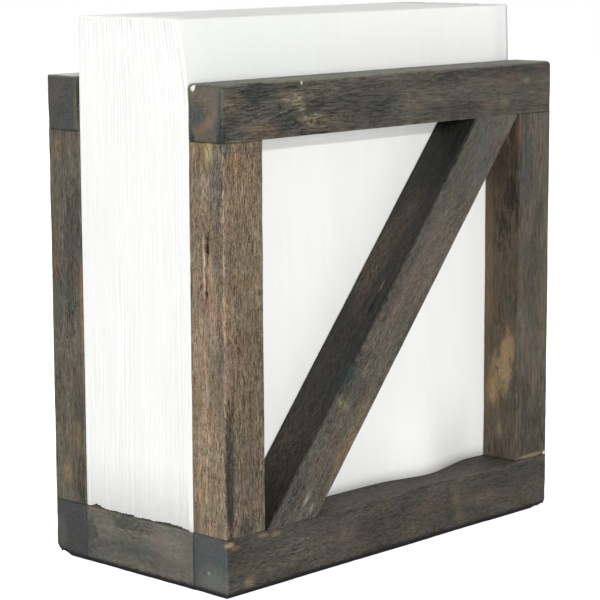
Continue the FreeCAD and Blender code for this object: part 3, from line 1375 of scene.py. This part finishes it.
    def _front_relief(self, share: float, x: float, z: float) -> float:
        """How far the first few napkins stray from a flat front."""
        if share > self.FRONT_SHARE:
            return 0.0
        fade = math.exp(-share * self.FRONT_FADE)
        foot = self._foot(self.FRONT_FOOT, z)
        bulge = bell(x, self.belly_x, self.BULGE_WIDTH)
        hollow = bell(x, self.HOLLOW_X, self.HOLLOW_WIDTH)
        relief = foot * (self.hollow * hollow - self.belly * bulge)
        curl = self.curl * smooth_step(self.high.x - self.CURL_WIDTH, self.high.x, x)
        wide, tall = self.LONG_WAVE
        wave = noise.noise(Vector((x / wide, 4.0, z / tall)))
        wide, tall = self.SHORT_WAVE
        wave += 0.5 * noise.noise(Vector((x / wide + z / self.SLANT, 9.0, z / tall)))
        return fade * (relief + curl + self.wave * (1.0 + wave))

    def _hem_fade(self, x: float) -> float:
        """How much of a leaf's lift is left at a place along the stack."""
        left = 1.0 - smooth_step(*(self.low.x + away for away in self.LEFT_LIFT), x)
        right = smooth_step(self.high.x - self.RIGHT_LIFT, self.high.x, x)
        return self.LEAST_LIFT + (1.0 - self.LEAST_LIFT) * max(left, 0.5 * right)

    def _hem_height(self, share: float) -> float:
        """How far above the base a leaf ends, by its place in the stack."""
        if share < 1.0 / self.count:
            return 0.0
        for (before, low), (after, high) in zip(self.HEMS, self.HEMS[1:]):
            if share <= after:
                part = (share - before) / (after - before)
                break
        height = low + (high - low) * max(0.0, min(1.0, part))
        return height * MM + self.hem * self.random.uniform(-self.HEM_SWING, self.HEM_SWING)

    def _sheet(
        self, shape: Shape, near: float, far: float, drop: float,
        columns: int, rows: int,
    ) -> None:
        """Adds one sheet that is folded over at the top.

        Args:
            shape: what it is added to.
            near: share of the stack's thickness at its front leaf.
            far: share at its back leaf.
            drop: how far its fold lies under the stack's top.
            columns: cells along the fold.
            rows: cells up each leaf.
        """
        lines = 2 * rows + self.FOLD_STEPS
        left = self.low.x + self.random.uniform(0.0, self.ragged)
        right = self.high.x - self.random.uniform(0.0, self.ragged)
        lift = self._hem_height(near)
        top = self.high.z - drop
        phase = self.random.uniform(0.0, 50.0)
        grid = {"x_segments": columns, "y_segments": lines, "size": 0.5}
        verts = bmesh.ops.create_grid(shape, **grid)["verts"]
        faces = list({face for vert in verts for face in vert.link_faces})
        for vert in verts:
            across = vert.co.x + 0.5
            line = round((vert.co.y + 0.5) * lines)
            fray = self.ragged * noise.noise(Vector((phase, line * self.FRAY_STEP, across)))
            x = left + (right - left) * across + fray * (1.0 - 2.0 * across)
            bottom = self.floor + lift * self._hem_fade(x)
            radius = (self.depth_at(far, x, top) - self.depth_at(near, x, top)) / 2.0
            shoulder = top - radius
            row = min(line, lines - line)
            if row <= rows:
                z = bottom + (shoulder - bottom) * (row / rows) ** self.ROW_CROWDING
                y = self.depth_at(near if line == row else far, x, z)
            else:
                angle = math.pi * (line - rows) / self.FOLD_STEPS
                z = shoulder + radius * math.sin(angle)
                y = self.depth_at(near, x, shoulder) + radius * (1.0 - math.cos(angle))
            vert.co = Vector((x, y, z))
        bmesh.ops.recalc_face_normals(shape, faces=faces)
        bmesh.ops.solidify(shape, geom=faces, thickness=self.leaf)

    def _napkin(self, shape: Shape, number: int, columns: int, rows: int) -> None:
        """Adds one napkin, counted from the front, as sheets inside each other."""
        for sheet in range(self.sheets):
            inset = sheet * (self.leaf + self.LEAF_GAP)
            share = inset / (self.high.y - self.low.y)
            near = number / self.count + share + self.NAPKIN_GAP
            far = (number + 1) / self.count - share - self.NAPKIN_GAP
            drop = inset + self.random.uniform(0, self.FOLD_DROP) * MM
            self._sheet(shape, near, far, drop, columns, rows)

    def build(self, effects: Effects) -> None:
        """Builds the front napkin and the stack behind it."""
        material = self.paper.material("soft_paper", effects)
        front = bmesh.new()
        self._napkin(front, 0, *self.FRONT_CELLS)
        # The front napkin's paper carries the painted shade on its top strip.
        front_material = self.front_paper.material("soft_front_paper_shaded_top", effects)
        add_piece("front_napkin_paper", front, front_material, "front_napkin")
        stack = bmesh.new()
        for number in range(1, self.count):
            self._napkin(stack, number, *self.STACK_CELLS)
        add_piece("napkin_stack_paper", stack, material, "napkin_stack")


# ---------------------------------------------------------------- studio


@dataclass
class Studio:
    """A white floor, soft lamps and the camera.

    Attributes:
        azimuth: the camera's direction round the holder, in degrees from the front.
        elevation: its height above the horizon, in degrees.
        roll: its roll, in degrees.
        distance: from the camera to the point it looks at.
        target: that point.
        lens: its focal length, in millimetres.
        sensor: the width of its sensor, in millimetres.
        LAMPS: each lamp's name, direction and height in degrees, distance, width, strength.
    """

    azimuth: float = -46.425
    elevation: float = 9.35
    roll: float = -0.256
    distance: float = 811.1 * MM
    target: Vector = field(default_factory=lambda: Vector((-4.957, 0.0, 83.455)) * MM)
    lens: float = 138.094
    sensor: float = 36.0

    LAMPS = (
        ("fill_lamp", -30.0, 4.0, 2.2, 0.6, 0.415),
        ("key_lamp", -40.0, 16.6, 2.2, 0.05, 0.34),
        ("side_lamp", -97.0, 10.0, 2.0, 0.8, 0.22),
        ("top_lamp", -40.0, 86.0, 1.6, 0.8, 0.13),
        ("back_lamp", 150.0, 20.0, 2.0, 0.8, 0.45),
    )
    FLOOR_SIZE = 2.5
    FLOOR_GLOW = 0.8
    WORLD_LIGHT = 0.27

    def build(self) -> None:
        """Builds the floor, the light and the camera."""
        self._floor()
        self._world()
        for lamp in self.LAMPS:
            self._lamp(*lamp)
        self._camera()
        bpy.context.scene.view_settings.view_transform = "Standard"

    @staticmethod
    def _seen(sheet: NodeSheet) -> Socket:
        """1 for rays that show the background, and 0 for those that light the object."""
        rays = sheet.add("LightPath").outputs
        shown = sheet.math("MAXIMUM", rays["Is Camera Ray"], rays["Is Glossy Ray"])
        return sheet.math("MAXIMUM", shown, rays["Is Transmission Ray"])

    def _floor(self) -> None:
        """A wide pale floor, which the camera sees as white as the surroundings."""
        shape = bmesh.new()
        bmesh.ops.create_grid(shape, x_segments=1, y_segments=1, size=self.FLOOR_SIZE)
        mesh = bpy.data.meshes.new("studio_floor")
        shape.to_mesh(mesh)
        shape.free()
        material, sheet, surface = open_material("studio_white")
        paint = sheet.add("BsdfDiffuse", {"Color": Tint(235, 235, 235)}).outputs[0]
        seen = sheet.add("LightPath").outputs["Is Camera Ray"]
        strength = sheet.math("MULTIPLY", seen, self.FLOOR_GLOW)
        glow = sheet.add("Emission", {"Strength": strength}).outputs[0]
        sheet.feed(surface, sheet.add("AddShader", {0: paint, 1: glow}).outputs[0])
        mesh.materials.append(material)
        floor = put_in_scene("studio_floor", mesh)

    def _world(self) -> None:
        """Plain white surroundings."""
        world = bpy.data.worlds.new("studio_world")
        bpy.context.scene.world = world
        world.use_nodes = True
        world.node_tree.nodes.clear()
        sheet = NodeSheet(world.node_tree)
        strength = sheet.span(self._seen(sheet), self.WORLD_LIGHT, 1.0)
        light = sheet.add("Background", {"Color": Tint(255, 255, 255), "Strength": strength})
        output = sheet.add("OutputWorld")
        sheet.feed(output.inputs["Surface"], light.outputs[0])

    @staticmethod
    def _direction(azimuth: float, elevation: float) -> Vector:
        """The direction of a place round the holder, from angles in degrees."""
        turn, height = math.radians(azimuth), math.radians(elevation)
        level = Vector((math.sin(turn), -math.cos(turn), 0.0)) * math.cos(height)
        return level + UPRIGHT_AXIS * math.sin(height)

    def _lamp(
        self, name: str, azimuth: float, elevation: float, distance: float,
        width: float, strength: float,
    ) -> None:
        """A soft square lamp that faces the holder.

        Args:
            name: the lamp's name.
            azimuth: its direction round the holder, in degrees.
            elevation: its height above the horizon, in degrees.
            distance: how far away it hangs, in metres.
            width: its width, in metres.
            strength: its light on a white face that looks at it, where 1 renders as white.
        """
        light = bpy.data.lights.new(name, "AREA")
        light.size = width
        light.energy = strength * (math.pi * distance) ** 2
        lamp = put_in_scene(name, light)
        way = self._direction(azimuth, elevation)
        lamp.location = self.target + way * distance
        lamp.rotation_euler = (-way).to_track_quat("-Z", "Y").to_euler()

    def _camera(self) -> None:
        """The camera, and makes it the scene's own."""
        back = self._direction(self.azimuth, self.elevation)
        lens = bpy.data.cameras.new("studio_camera")
        lens.lens = self.lens
        lens.sensor_width = self.sensor
        camera = put_in_scene("studio_camera", lens)
        roll = Matrix.Rotation(math.radians(self.roll), 3, "Z")
        aim = (-back).to_track_quat("-Z", "Y").to_matrix() @ roll
        camera.matrix_world = Matrix.Translation(self.target + back * self.distance) @ aim.to_4x4()
        bpy.context.scene.camera = camera


# ---------------------------------------------------------------- this holder's own wood

# Where the sticks' surfaces lie from their middles, in millimetres: front faces, the ends of
# rails, and the sides of stiles, braces, cross rails, bottom rails and top rails.
FACE, END = 7.8, 83.5
SIDE, BRACE_SIDE, CROSS_SIDE = 8.9, 9.35, 7.5
FOOT, TOP = 9.65, 9.05


def make_patches(*rows: tuple[float, ...]) -> tuple[Patch, ...]:
    """The patches of one stick.

    Args:
        rows: for each its place, its reach, its red, green and blue, how well it covers,
            how ragged it is and, where it is streaky, how much.

    Returns:
        The patches, in the same order.
    """
    return tuple(Patch(row[:3], row[3:6], Tint(*row[6:9]), *row[9:]) for row in rows)


# Painted contact shadow: a near-black line along the bottom edges, where a stick stands on the
# floor.
PAINTED_CONTACT_SHADOW = (0, -FOOT, 0, 300, 2.3, 40, 5, 5, 5, 1, 0.2)
# Painted light: the top face of a top rail made paler, standing in for the light that falls on it
# from above.
PAINTED_TOP_LIGHT = (0, TOP, 0, 300, 0.75, 40, 110, 112, 103, 0.8, 0.25)
FRONT_WOODS = {
    "top_rail": StainedWood(
        dark=Tint(52, 51, 48), light=Tint(84, 80, 73), end=Tint(84, 85, 82), seed=1.0,
        fibre=(5.0, 0.6), contrast=(1.6, 0.7),
        patches=make_patches(
            # painted light on the top face
            PAINTED_TOP_LIGHT,
            (-79.2, 4.4, FACE, 5, 5, 3, 104, 92, 66, 0.6, 2, 0.3),
            (-69, 6.2, FACE, 8, 6, 4, 42, 45, 43, 0.85, 1.4),
            (-57.3, -4, FACE, 7, 6, 4, 50, 52, 51, 0.7, 1.6),
            (-66, -6.5, FACE, 9, 3, 3, 108, 89, 70, 0.65, 1.8, 0.4),
            (-45, -2, FACE, 14, 9, 3, 46, 45, 43, 0.75, 1.6),
            (-55, 3.2, FACE, 4.5, 2.4, 3, 128, 112, 90, 0.7, 2.2, 0.6),
            (-50, 3, FACE, 4.8, 3, 3, 158, 142, 114, 0.85, 2.4, 0.8),
            (-47.8, -0.6, FACE, 3.4, 2.8, 3, 152, 144, 116, 0.9, 2.4, 0.8),
            (-46, -4.2, FACE, 3, 1.8, 3, 182, 166, 132, 0.95, 3, 0.8),
            (-41, -3, FACE, 3.6, 1.8, 3, 184, 168, 134, 0.95, 3, 0.8),
            (-43.4, -6.4, FACE, 3.4, 1.2, 3, 160, 144, 112, 0.85, 3, 0.8),
            (-36.7, -4, FACE, 2.6, 2.4, 3, 96, 92, 62, 0.6, 1.6, 0.2),
            (-47.7, 8, FACE, 0.5, 0.8, 2, 196, 194, 186, 0.8, 0.6),
            (17, -1.4, FACE, 14, 1.1, 3, 106, 102, 95, 0.45, 1.4, 0.3),
            (10.7, -3.6, FACE, 3, 1.6, 3, 114, 96, 72, 0.45, 1.4, 0.2),
            (56.9, 3.5, FACE, 17, 2.4, 3, 108, 95, 86, 0.45, 1.8, 0.3),
            (69.5, 2.8, FACE, 1.8, 1.2, 3, 136, 122, 108, 0.4, 2),
            (57, -4.6, FACE, 4, 2, 3, 116, 110, 86, 0.55, 1.4, 0.2),
            (48, -5.2, FACE, 4.5, 1.8, 3, 104, 90, 76, 0.45, 1.4, 0.2),
            (-END, 4.5, 1.5, 2, 6, 7, 104, 100, 86, 0.6, 1.8),
            (-END, 4.2, -5, 2, 3.6, 2.4, 116, 98, 78, 0.6, 2.2),
            (-END, -0.5, -3.6, 2, 4.6, 5.2, 66, 70, 74, 0.85, 1.6),
            (-END, 0.6, 6.8, 2, 9, 1.3, 58, 58, 56, 0.7, 1.2),
            (-END, -6.2, -3, 2, 2.4, 2.4, 104, 86, 70, 0.75, 2.4),
            (-END, -4.6, -0.6, 2, 2.4, 2.2, 112, 92, 74, 0.75, 2.4),
            (-END, -2.4, 2, 2, 2.4, 2, 128, 105, 86, 0.75, 2),
            (-END, 0, 4.2, 2, 2.6, 1.5, 116, 102, 88, 0.55, 2),
            (-END, -6.5, 7, 1.2, 5, 2.4, 38, 41, 41, 0.85, 0.8),
            (-END, -8, -6.4, 2, 3, 1.6, 38, 40, 42, 0.8, 0.8),
            (-END, 0, -FACE, 2.5, 8.4, 0.7, 20, 21, 21, 0.9, 0.3),
            (-END, 7.8, -5.4, 1.6, 1.3, 1.2, 246, 240, 228, 1, 0.7),
        ),
        knots=(Knot((-42.9, -4.5, FACE), (2.8, 2, 3)),),
    ),
    "bottom_rail": StainedWood(
        dark=Tint(52, 51, 48), light=Tint(80, 75, 68), end=Tint(73, 79, 83), seed=2.0,
        fibre=(2.6, 0.55), contrast=(1.3, 0.68),
        patches=make_patches(
            (-50, 0, FACE, 34, 9, 3, 90, 87, 80, 0.6, 1.4, 0.3),
            (-27, 0.8, FACE, 7, 2.6, 3, 98, 84, 74, 0.5, 2, 0.4),
            (14, 3.4, FACE, 8, 3.4, 3, 92, 83, 73, 0.5, 2, 0.3),
            (9, -4.9, FACE, 6, 2.4, 3, 96, 91, 76, 0.45, 2, 0.4),
            (31.5, 2, FACE, 2.4, 4.4, 3, 110, 97, 76, 0.5, 2.2, 0.3),
            (33.6, -4, FACE, 3.4, 5, 3, 106, 92, 74, 0.5, 2.2, 0.3),
            (45, -0.6, FACE, 10, 2.4, 3, 98, 83, 74, 0.45, 2, 0.4),
            (2, 5, FACE, 9, 3, 3, 56, 57, 56, 0.6, 1.6),
            (68, -1, FACE, 9, 9, 3, 64, 63, 57, 0.55, 1.4),
            (-73, -6.6, FACE, 2.6, 2.6, 3, 134, 112, 92, 0.65, 2.2, 0.3),
            (-82, 8, FACE, 2.2, 1, 2, 160, 146, 122, 0.8, 1.2),
            (-79.5, 6.6, FACE, 3, 1, 2, 112, 96, 70, 0.6, 1.2),
            (-66.6, 8.4, FACE, 3.4, 0.9, 2, 136, 112, 92, 0.7, 1.2),
            (-61, 7.8, FACE, 3, 1.1, 2, 124, 112, 84, 0.6, 1.2),
            (-END, -5, 2, 1.2, 5.5, 8, 104, 106, 102, 0.65, 1.6),
            (-END, 3, -7, 1.2, 8, 1.8, 62, 66, 70, 0.6, 1.2),
            (-END, -2.6, -0.5, 1, 0.8, 0.8, 146, 150, 148, 0.7, 0.4),
            # painted contact shadow along the foot
            PAINTED_CONTACT_SHADOW,
        ),
    ),
    "left_stile": StainedWood(
        dark=Tint(86, 76, 64), light=Tint(132, 115, 96), seed=3.0, lightness=0.15,
        fibre=(2.8, 0.3), contrast=(2.2, 2.2), wear=0.3, wear_width=0.5,
        worn=Tint(180, 166, 142),
        patches=make_patches(
            (48, SIDE, 4.7, 16, 2, 2.4, 90, 86, 82, 0.75, 1.2),
            (5, SIDE, 5.4, 60, 2, 1.6, 96, 90, 82, 0.5, 1.4),
            (60.5, SIDE, 1.2, 4.5, 2, 2.2, 160, 146, 108, 0.75, 1.6),
            (24, SIDE, 1.8, 8, 2, 2, 158, 140, 112, 0.6, 1.8),
            (25, SIDE, -1.3, 11, 2, 0.6, 198, 178, 146, 0.7, 0.6, 0.3),
            # Painted shade: dark lines along the two cracks in the side face, for the shade inside
            # them.
            (30, SIDE, 0.1, 6, 4, 0.8, 18, 12, 7, 1, 0.3),
            (17, SIDE, -0.4, 5, 4, 0.65, 22, 16, 10, 1, 0.3),
            (16.5, SIDE, -7.6, 3.4, 2, 0.9, 26, 24, 16, 0.9, 0.3),
            (-40, SIDE, 0, 34, 2, 10, 150, 133, 110, 0.5, 1.8, 0.2),
            (0, -1, FACE, 90, 9, 1.2, 102, 89, 74, 0.7, 1.4),
            (56, 2.4, FACE, 6, 3, 1.5, 124, 104, 68, 0.55, 1.8, 0.3),
            (61.5, -3, FACE, 2.4, 6, 1.5, 76, 66, 60, 0.6, 1.8, 0.4),
            (31, -0.6, FACE, 8, 3.4, 1.5, 124, 98, 78, 0.5, 1.8, 0.3),
            (0, -SIDE, FACE, 66, 0.6, 1.2, 54, 51, 46, 0.7, 0.8),
            (62.5, 7.5, FACE, 3.5, 3, 1.6, 70, 76, 72, 0.8, 1),
            (-45, 6.9, FACE, 28, 2.7, 1.2, 10, 13, 15, 1, 0.5),
            (-42, -1, FACE, 34, 12, 1.5, 86, 78, 67, 0.6, 1.6),
            (-60.6, -1, FACE, 3.6, 8.4, 1.5, 68, 66, 61, 0.8, 1),
            (0, SIDE, -FACE, 66, 2.5, 0.6, 30, 28, 26, 0.85, 0.4),
        ),
    ),
    "right_stile": StainedWood(
        dark=Tint(68, 64, 57), light=Tint(94, 87, 78), seed=4.0, fibre=(5.0, 1.0),
        contrast=(0.75, 0.65), flecks=0.2,
        patches=make_patches(
            (0, SIDE, 0, 80, 2, 12, 72, 61, 48, 0.8, 0.4),
            (42, SIDE, 0, 26, 2, 10, 58, 49, 38, 0.7, 1.4),
            (24, SIDE, 0.8, 6, 2, 3.2, 38, 36, 31, 0.85, 1.8),
            (33, SIDE, 4.4, 8, 2, 2.8, 34, 32, 28, 0.85, 1.6),
            (8, SIDE, -6, 30, 2, 2.2, 104, 84, 60, 0.6, 1.8),
            (-8, SIDE, 4.6, 8, 2, 3, 62, 60, 53, 0.7, 1.4),
            (-20, SIDE, 4.2, 9, 2, 2.4, 142, 124, 95, 0.85, 2.2, 0.2),
            (-29, SIDE, 1.4, 11, 2, 3.6, 148, 129, 100, 0.85, 2.2, 0.2),
            (-39, SIDE, -3.4, 10, 2, 3.6, 136, 117, 86, 0.85, 2.2, 0.2),
            (-52, 0, FACE, 20, 9, 1.6, 60, 57, 51, 0.75, 1.6),
            (-53, SIDE, -0.4, 4, 2, 2, 128, 110, 82, 0.75, 1.6),
            (-48, SIDE, 4.4, 9, 2, 3, 74, 70, 58, 0.6, 1.6),
            (-35, -1, FACE, 12, 2, 1.6, 104, 90, 76, 0.55, 1.6),
            (20, -7, FACE, 46, 1.8, 1.6, 102, 94, 74, 0.5, 1.4),
            (44, 4, FACE, 18, 4, 1.6, 68, 68, 67, 0.6, 1.4),
            (-62.8, 0.5, FACE, 0.9, 8, 1.6, 142, 118, 92, 0.75, 1),
            (-63.3, -8, FACE, 1, 1.4, 1.6, 225, 222, 212, 0.9, 0.6),
            (57, SIDE, 6.7, 5.5, 2, 1.1, 110, 72, 54, 0.85, 1.6),
        ),
    ),
    "brace": StainedWood(
        dark=Tint(62, 60, 56), light=Tint(96, 90, 81), seed=5.0, fibre=(2.6, 0.42),
        contrast=(1.9, 0.9), flecks=0.3,
        patches=make_patches(
            (68, 0, FACE, 26, 9, 3, 76, 78, 77, 0.7, 1.2),
            (12, -2, FACE, 22, 6, 3, 100, 89, 80, 0.5, 1.6, 0.2),
            (-46, -7, FACE, 18, 3, 3, 118, 98, 74, 0.6, 1.6, 0.3),
            (-70, 5, FACE, 10, 3.4, 3, 68, 70, 66, 0.7, 1.4),
            (-73, -1.2, FACE, 3.2, 0.9, 2, 146, 146, 136, 0.6, 1.6),
            (-74, -5.5, FACE, 2.2, 0.9, 2, 140, 138, 126, 0.6, 1.6),
            # The brace's upper side face darker all over: partly a darker stain, partly painted
            # shade, since that face lies in shade inside the window.
            (0, BRACE_SIDE, 0, 200, 2, 40, 33, 32, 28, 0.93, 0.2),
            (-60, BRACE_SIDE, 0, 20, 2, 12, 58, 50, 40, 0.5, 1.8, 0.3),
            (-13, BRACE_SIDE, 5.6, 28, 3, 3, 26, 29, 29, 0.75, 1.6),
            (14, BRACE_SIDE, -3.2, 24, 2, 4.6, 66, 58, 50, 0.85, 1.6),
            # Painted shade: a dark line along the crack in the side face, for the shade inside it.
            (-3, BRACE_SIDE, 4.15, 4.6, 4, 1, 4, 4, 4, 1, 0.2),
            (4.5, BRACE_SIDE, 4.3, 3, 1, 0.35, 112, 108, 98, 0.8, 0.2),
            (-31, 7.6, FACE, 9, 2.6, 3, 38, 46, 52, 0.85, 1.4),
            (-38.6, 4.6, FACE, 2, 5, 2, 132, 128, 100, 0.65, 2.4, 0.6),
            (-58, -7, FACE, 10, 2.6, 2, 122, 106, 84, 0.5, 2.2, 0.4),
            (36, BRACE_SIDE, 0, 15, 2, 4.4, 78, 64, 52, 0.65, 1.8, 0.2),
            (64, BRACE_SIDE, 0, 34, 2, 12, 32, 33, 31, 0.85, 0.8),
            (55, BRACE_SIDE, 5.8, 18, 2.6, 3, 24, 27, 27, 0.95, 1.8),
            # Painted shadow: a near-black wedge at the upper end of the brace's side face, where
            # the top rail shades it.
            (76.5, BRACE_SIDE, -5.5, 9, 3, 10, 8, 8, 7, 0.97, 0.5),
        ),
    ),
}
BACK_WOODS = {
    "top_rail": StainedWood(
        dark=Tint(50, 50, 48), light=Tint(86, 82, 75), end=Tint(66, 68, 66), seed=6.0,
        patches=make_patches(
            # painted light on the top face
            PAINTED_TOP_LIGHT,
            (END, 2, 4.5, 2, 7, 3, 80, 74, 68, 0.6, 2.2),
            (END, -3, 2, 2, 5, 4, 58, 58, 58, 0.7, 1.8),
            (END, -1, -3.5, 2, 8, 2.6, 56, 64, 70, 0.7, 1.6),
            (END, -1, -6.4, 2, 8, 1, 104, 90, 66, 0.7, 2.4),
            (END, 2, -FACE, 2.5, 9, 0.9, 24, 24, 23, 0.9, 0.8),
        ),
    ),
    "bottom_rail": StainedWood(
        dark=Tint(52, 50, 47), light=Tint(84, 78, 70), end=Tint(56, 59, 61), seed=7.0,
        patches=make_patches(
            (END, -2, 5, 1.2, 8, 3, 84, 84, 80, 0.6, 1.6),
            # painted contact shadow along the foot
            PAINTED_CONTACT_SHADOW,
        ),
    ),
    "left_stile": StainedWood(dark=Tint(72, 66, 58), light=Tint(112, 100, 85), seed=8.0),
    "right_stile": StainedWood(
        dark=Tint(64, 61, 55), light=Tint(98, 91, 80), seed=9.0, fibre=(3.2, 0.6),
        contrast=(1.2, 1.2),
        patches=make_patches(
            (58, -SIDE, 3, 7, 2, 3.6, 112, 94, 74, 0.6, 1.8, 0.3),
            (20, -SIDE, -2, 26, 2, 4.4, 58, 58, 55, 0.7, 1.6),
            (7, -SIDE, -7.6, 15, 4, 1.3, 120, 82, 60, 0.8, 1.6),
            (-30, -SIDE, -0.5, 14, 2, 1.8, 104, 88, 74, 0.5, 2.2, 0.4),
            (-42, -SIDE, -4, 8, 2, 2.4, 118, 96, 72, 0.6, 1.6),
            (-53.2, -SIDE, 1.6, 4.5, 2, 2.8, 140, 106, 80, 0.75, 2.2, 0.2),
            (0, -SIDE, 6, 60, 2, 2, 96, 84, 66, 0.4, 1.6, 0.3),
        ),
    ),
    "brace": StainedWood(dark=Tint(60, 58, 54), light=Tint(98, 92, 82), seed=10.0),
}
FRONT_KNOCKS = {"bottom_rail": (Knock((END, -FOOT, FACE), (9.0, 2.6, 5.0), 0.6),)}
BACK_KNOCKS = {"bottom_rail": (Knock((END, -FOOT, FACE), (5.0, 3.4, 7.5), 1.7),)}
FRONT_SPLITS = {
    "left_stile": (
        Split((35.6, SIDE, 0.7), (24.6, SIDE, -0.4), 1.5, 1.6),
        Split((21.4, SIDE, -0.4), (13, SIDE, -0.6), 1.2, 1.2),
    ),
    "brace": (Split((1.5, BRACE_SIDE, 4.5), (-7.5, BRACE_SIDE, 3.8), 1.5, 1.6),),
}
CROSS_WOODS = {
    "left": StainedWood(
        dark=Tint(80, 79, 74), light=Tint(108, 106, 99), seed=11.0, seam=0.25, flecks=0.1,
        fibre=(2.2, 0.9), contrast=(0.7, 0.5),
        patches=make_patches(
            (6, 7, -CROSS_SIDE, 11, 3.6, 3, 66, 66, 62, 0.8, 1.4),
            (25, -2, -CROSS_SIDE, 5, 10, 3, 62, 65, 64, 0.8, 1.4),
            (15, 5.5, -CROSS_SIDE, 4, 3, 3, 106, 105, 98, 0.7, 1.2),
            (-17, 2, -CROSS_SIDE, 9, 6, 3, 116, 114, 107, 0.65, 1.6),
            (5, -5.5, -CROSS_SIDE, 10, 3, 3, 84, 84, 80, 0.6, 1.6),
            # painted contact shadow along the foot
            PAINTED_CONTACT_SHADOW,
        ),
    ),
    "middle": StainedWood(
        dark=Tint(66, 64, 58), light=Tint(106, 99, 88), seed=12.0, seam=0.25
    ),
    "right": StainedWood(
        dark=Tint(70, 68, 62), light=Tint(104, 99, 90), seed=13.0, seam=0.25,
        # painted contact shadow along the foot
        patches=make_patches(PAINTED_CONTACT_SHADOW),
    ),
}


def main() -> None:
    """Builds the holder's looks, piece by piece."""
    logging.basicConfig(level=logging.INFO, format="%(message)s", stream=sys.stdout)
    effects = Effects(
        make_wood_figure(),
        make_stain_cloud(),
        make_stain_and_painted_light_patch(),
        make_knot_rings(),
        make_worn_arris(),
        make_paper_crepe(),
    )
    bench = StickBench(effects)
    BracedFrame(Side.FRONT, FRONT_WOODS, FRONT_KNOCKS, FRONT_SPLITS).build(bench)
    BracedFrame(Side.BACK, BACK_WOODS, BACK_KNOCKS).build(bench)
    Base(CROSS_WOODS).build(bench)
    Brads().dress(effects)
    NapkinFill().build(effects)
    Studio().build()


if __name__ == "__main__":
    main()
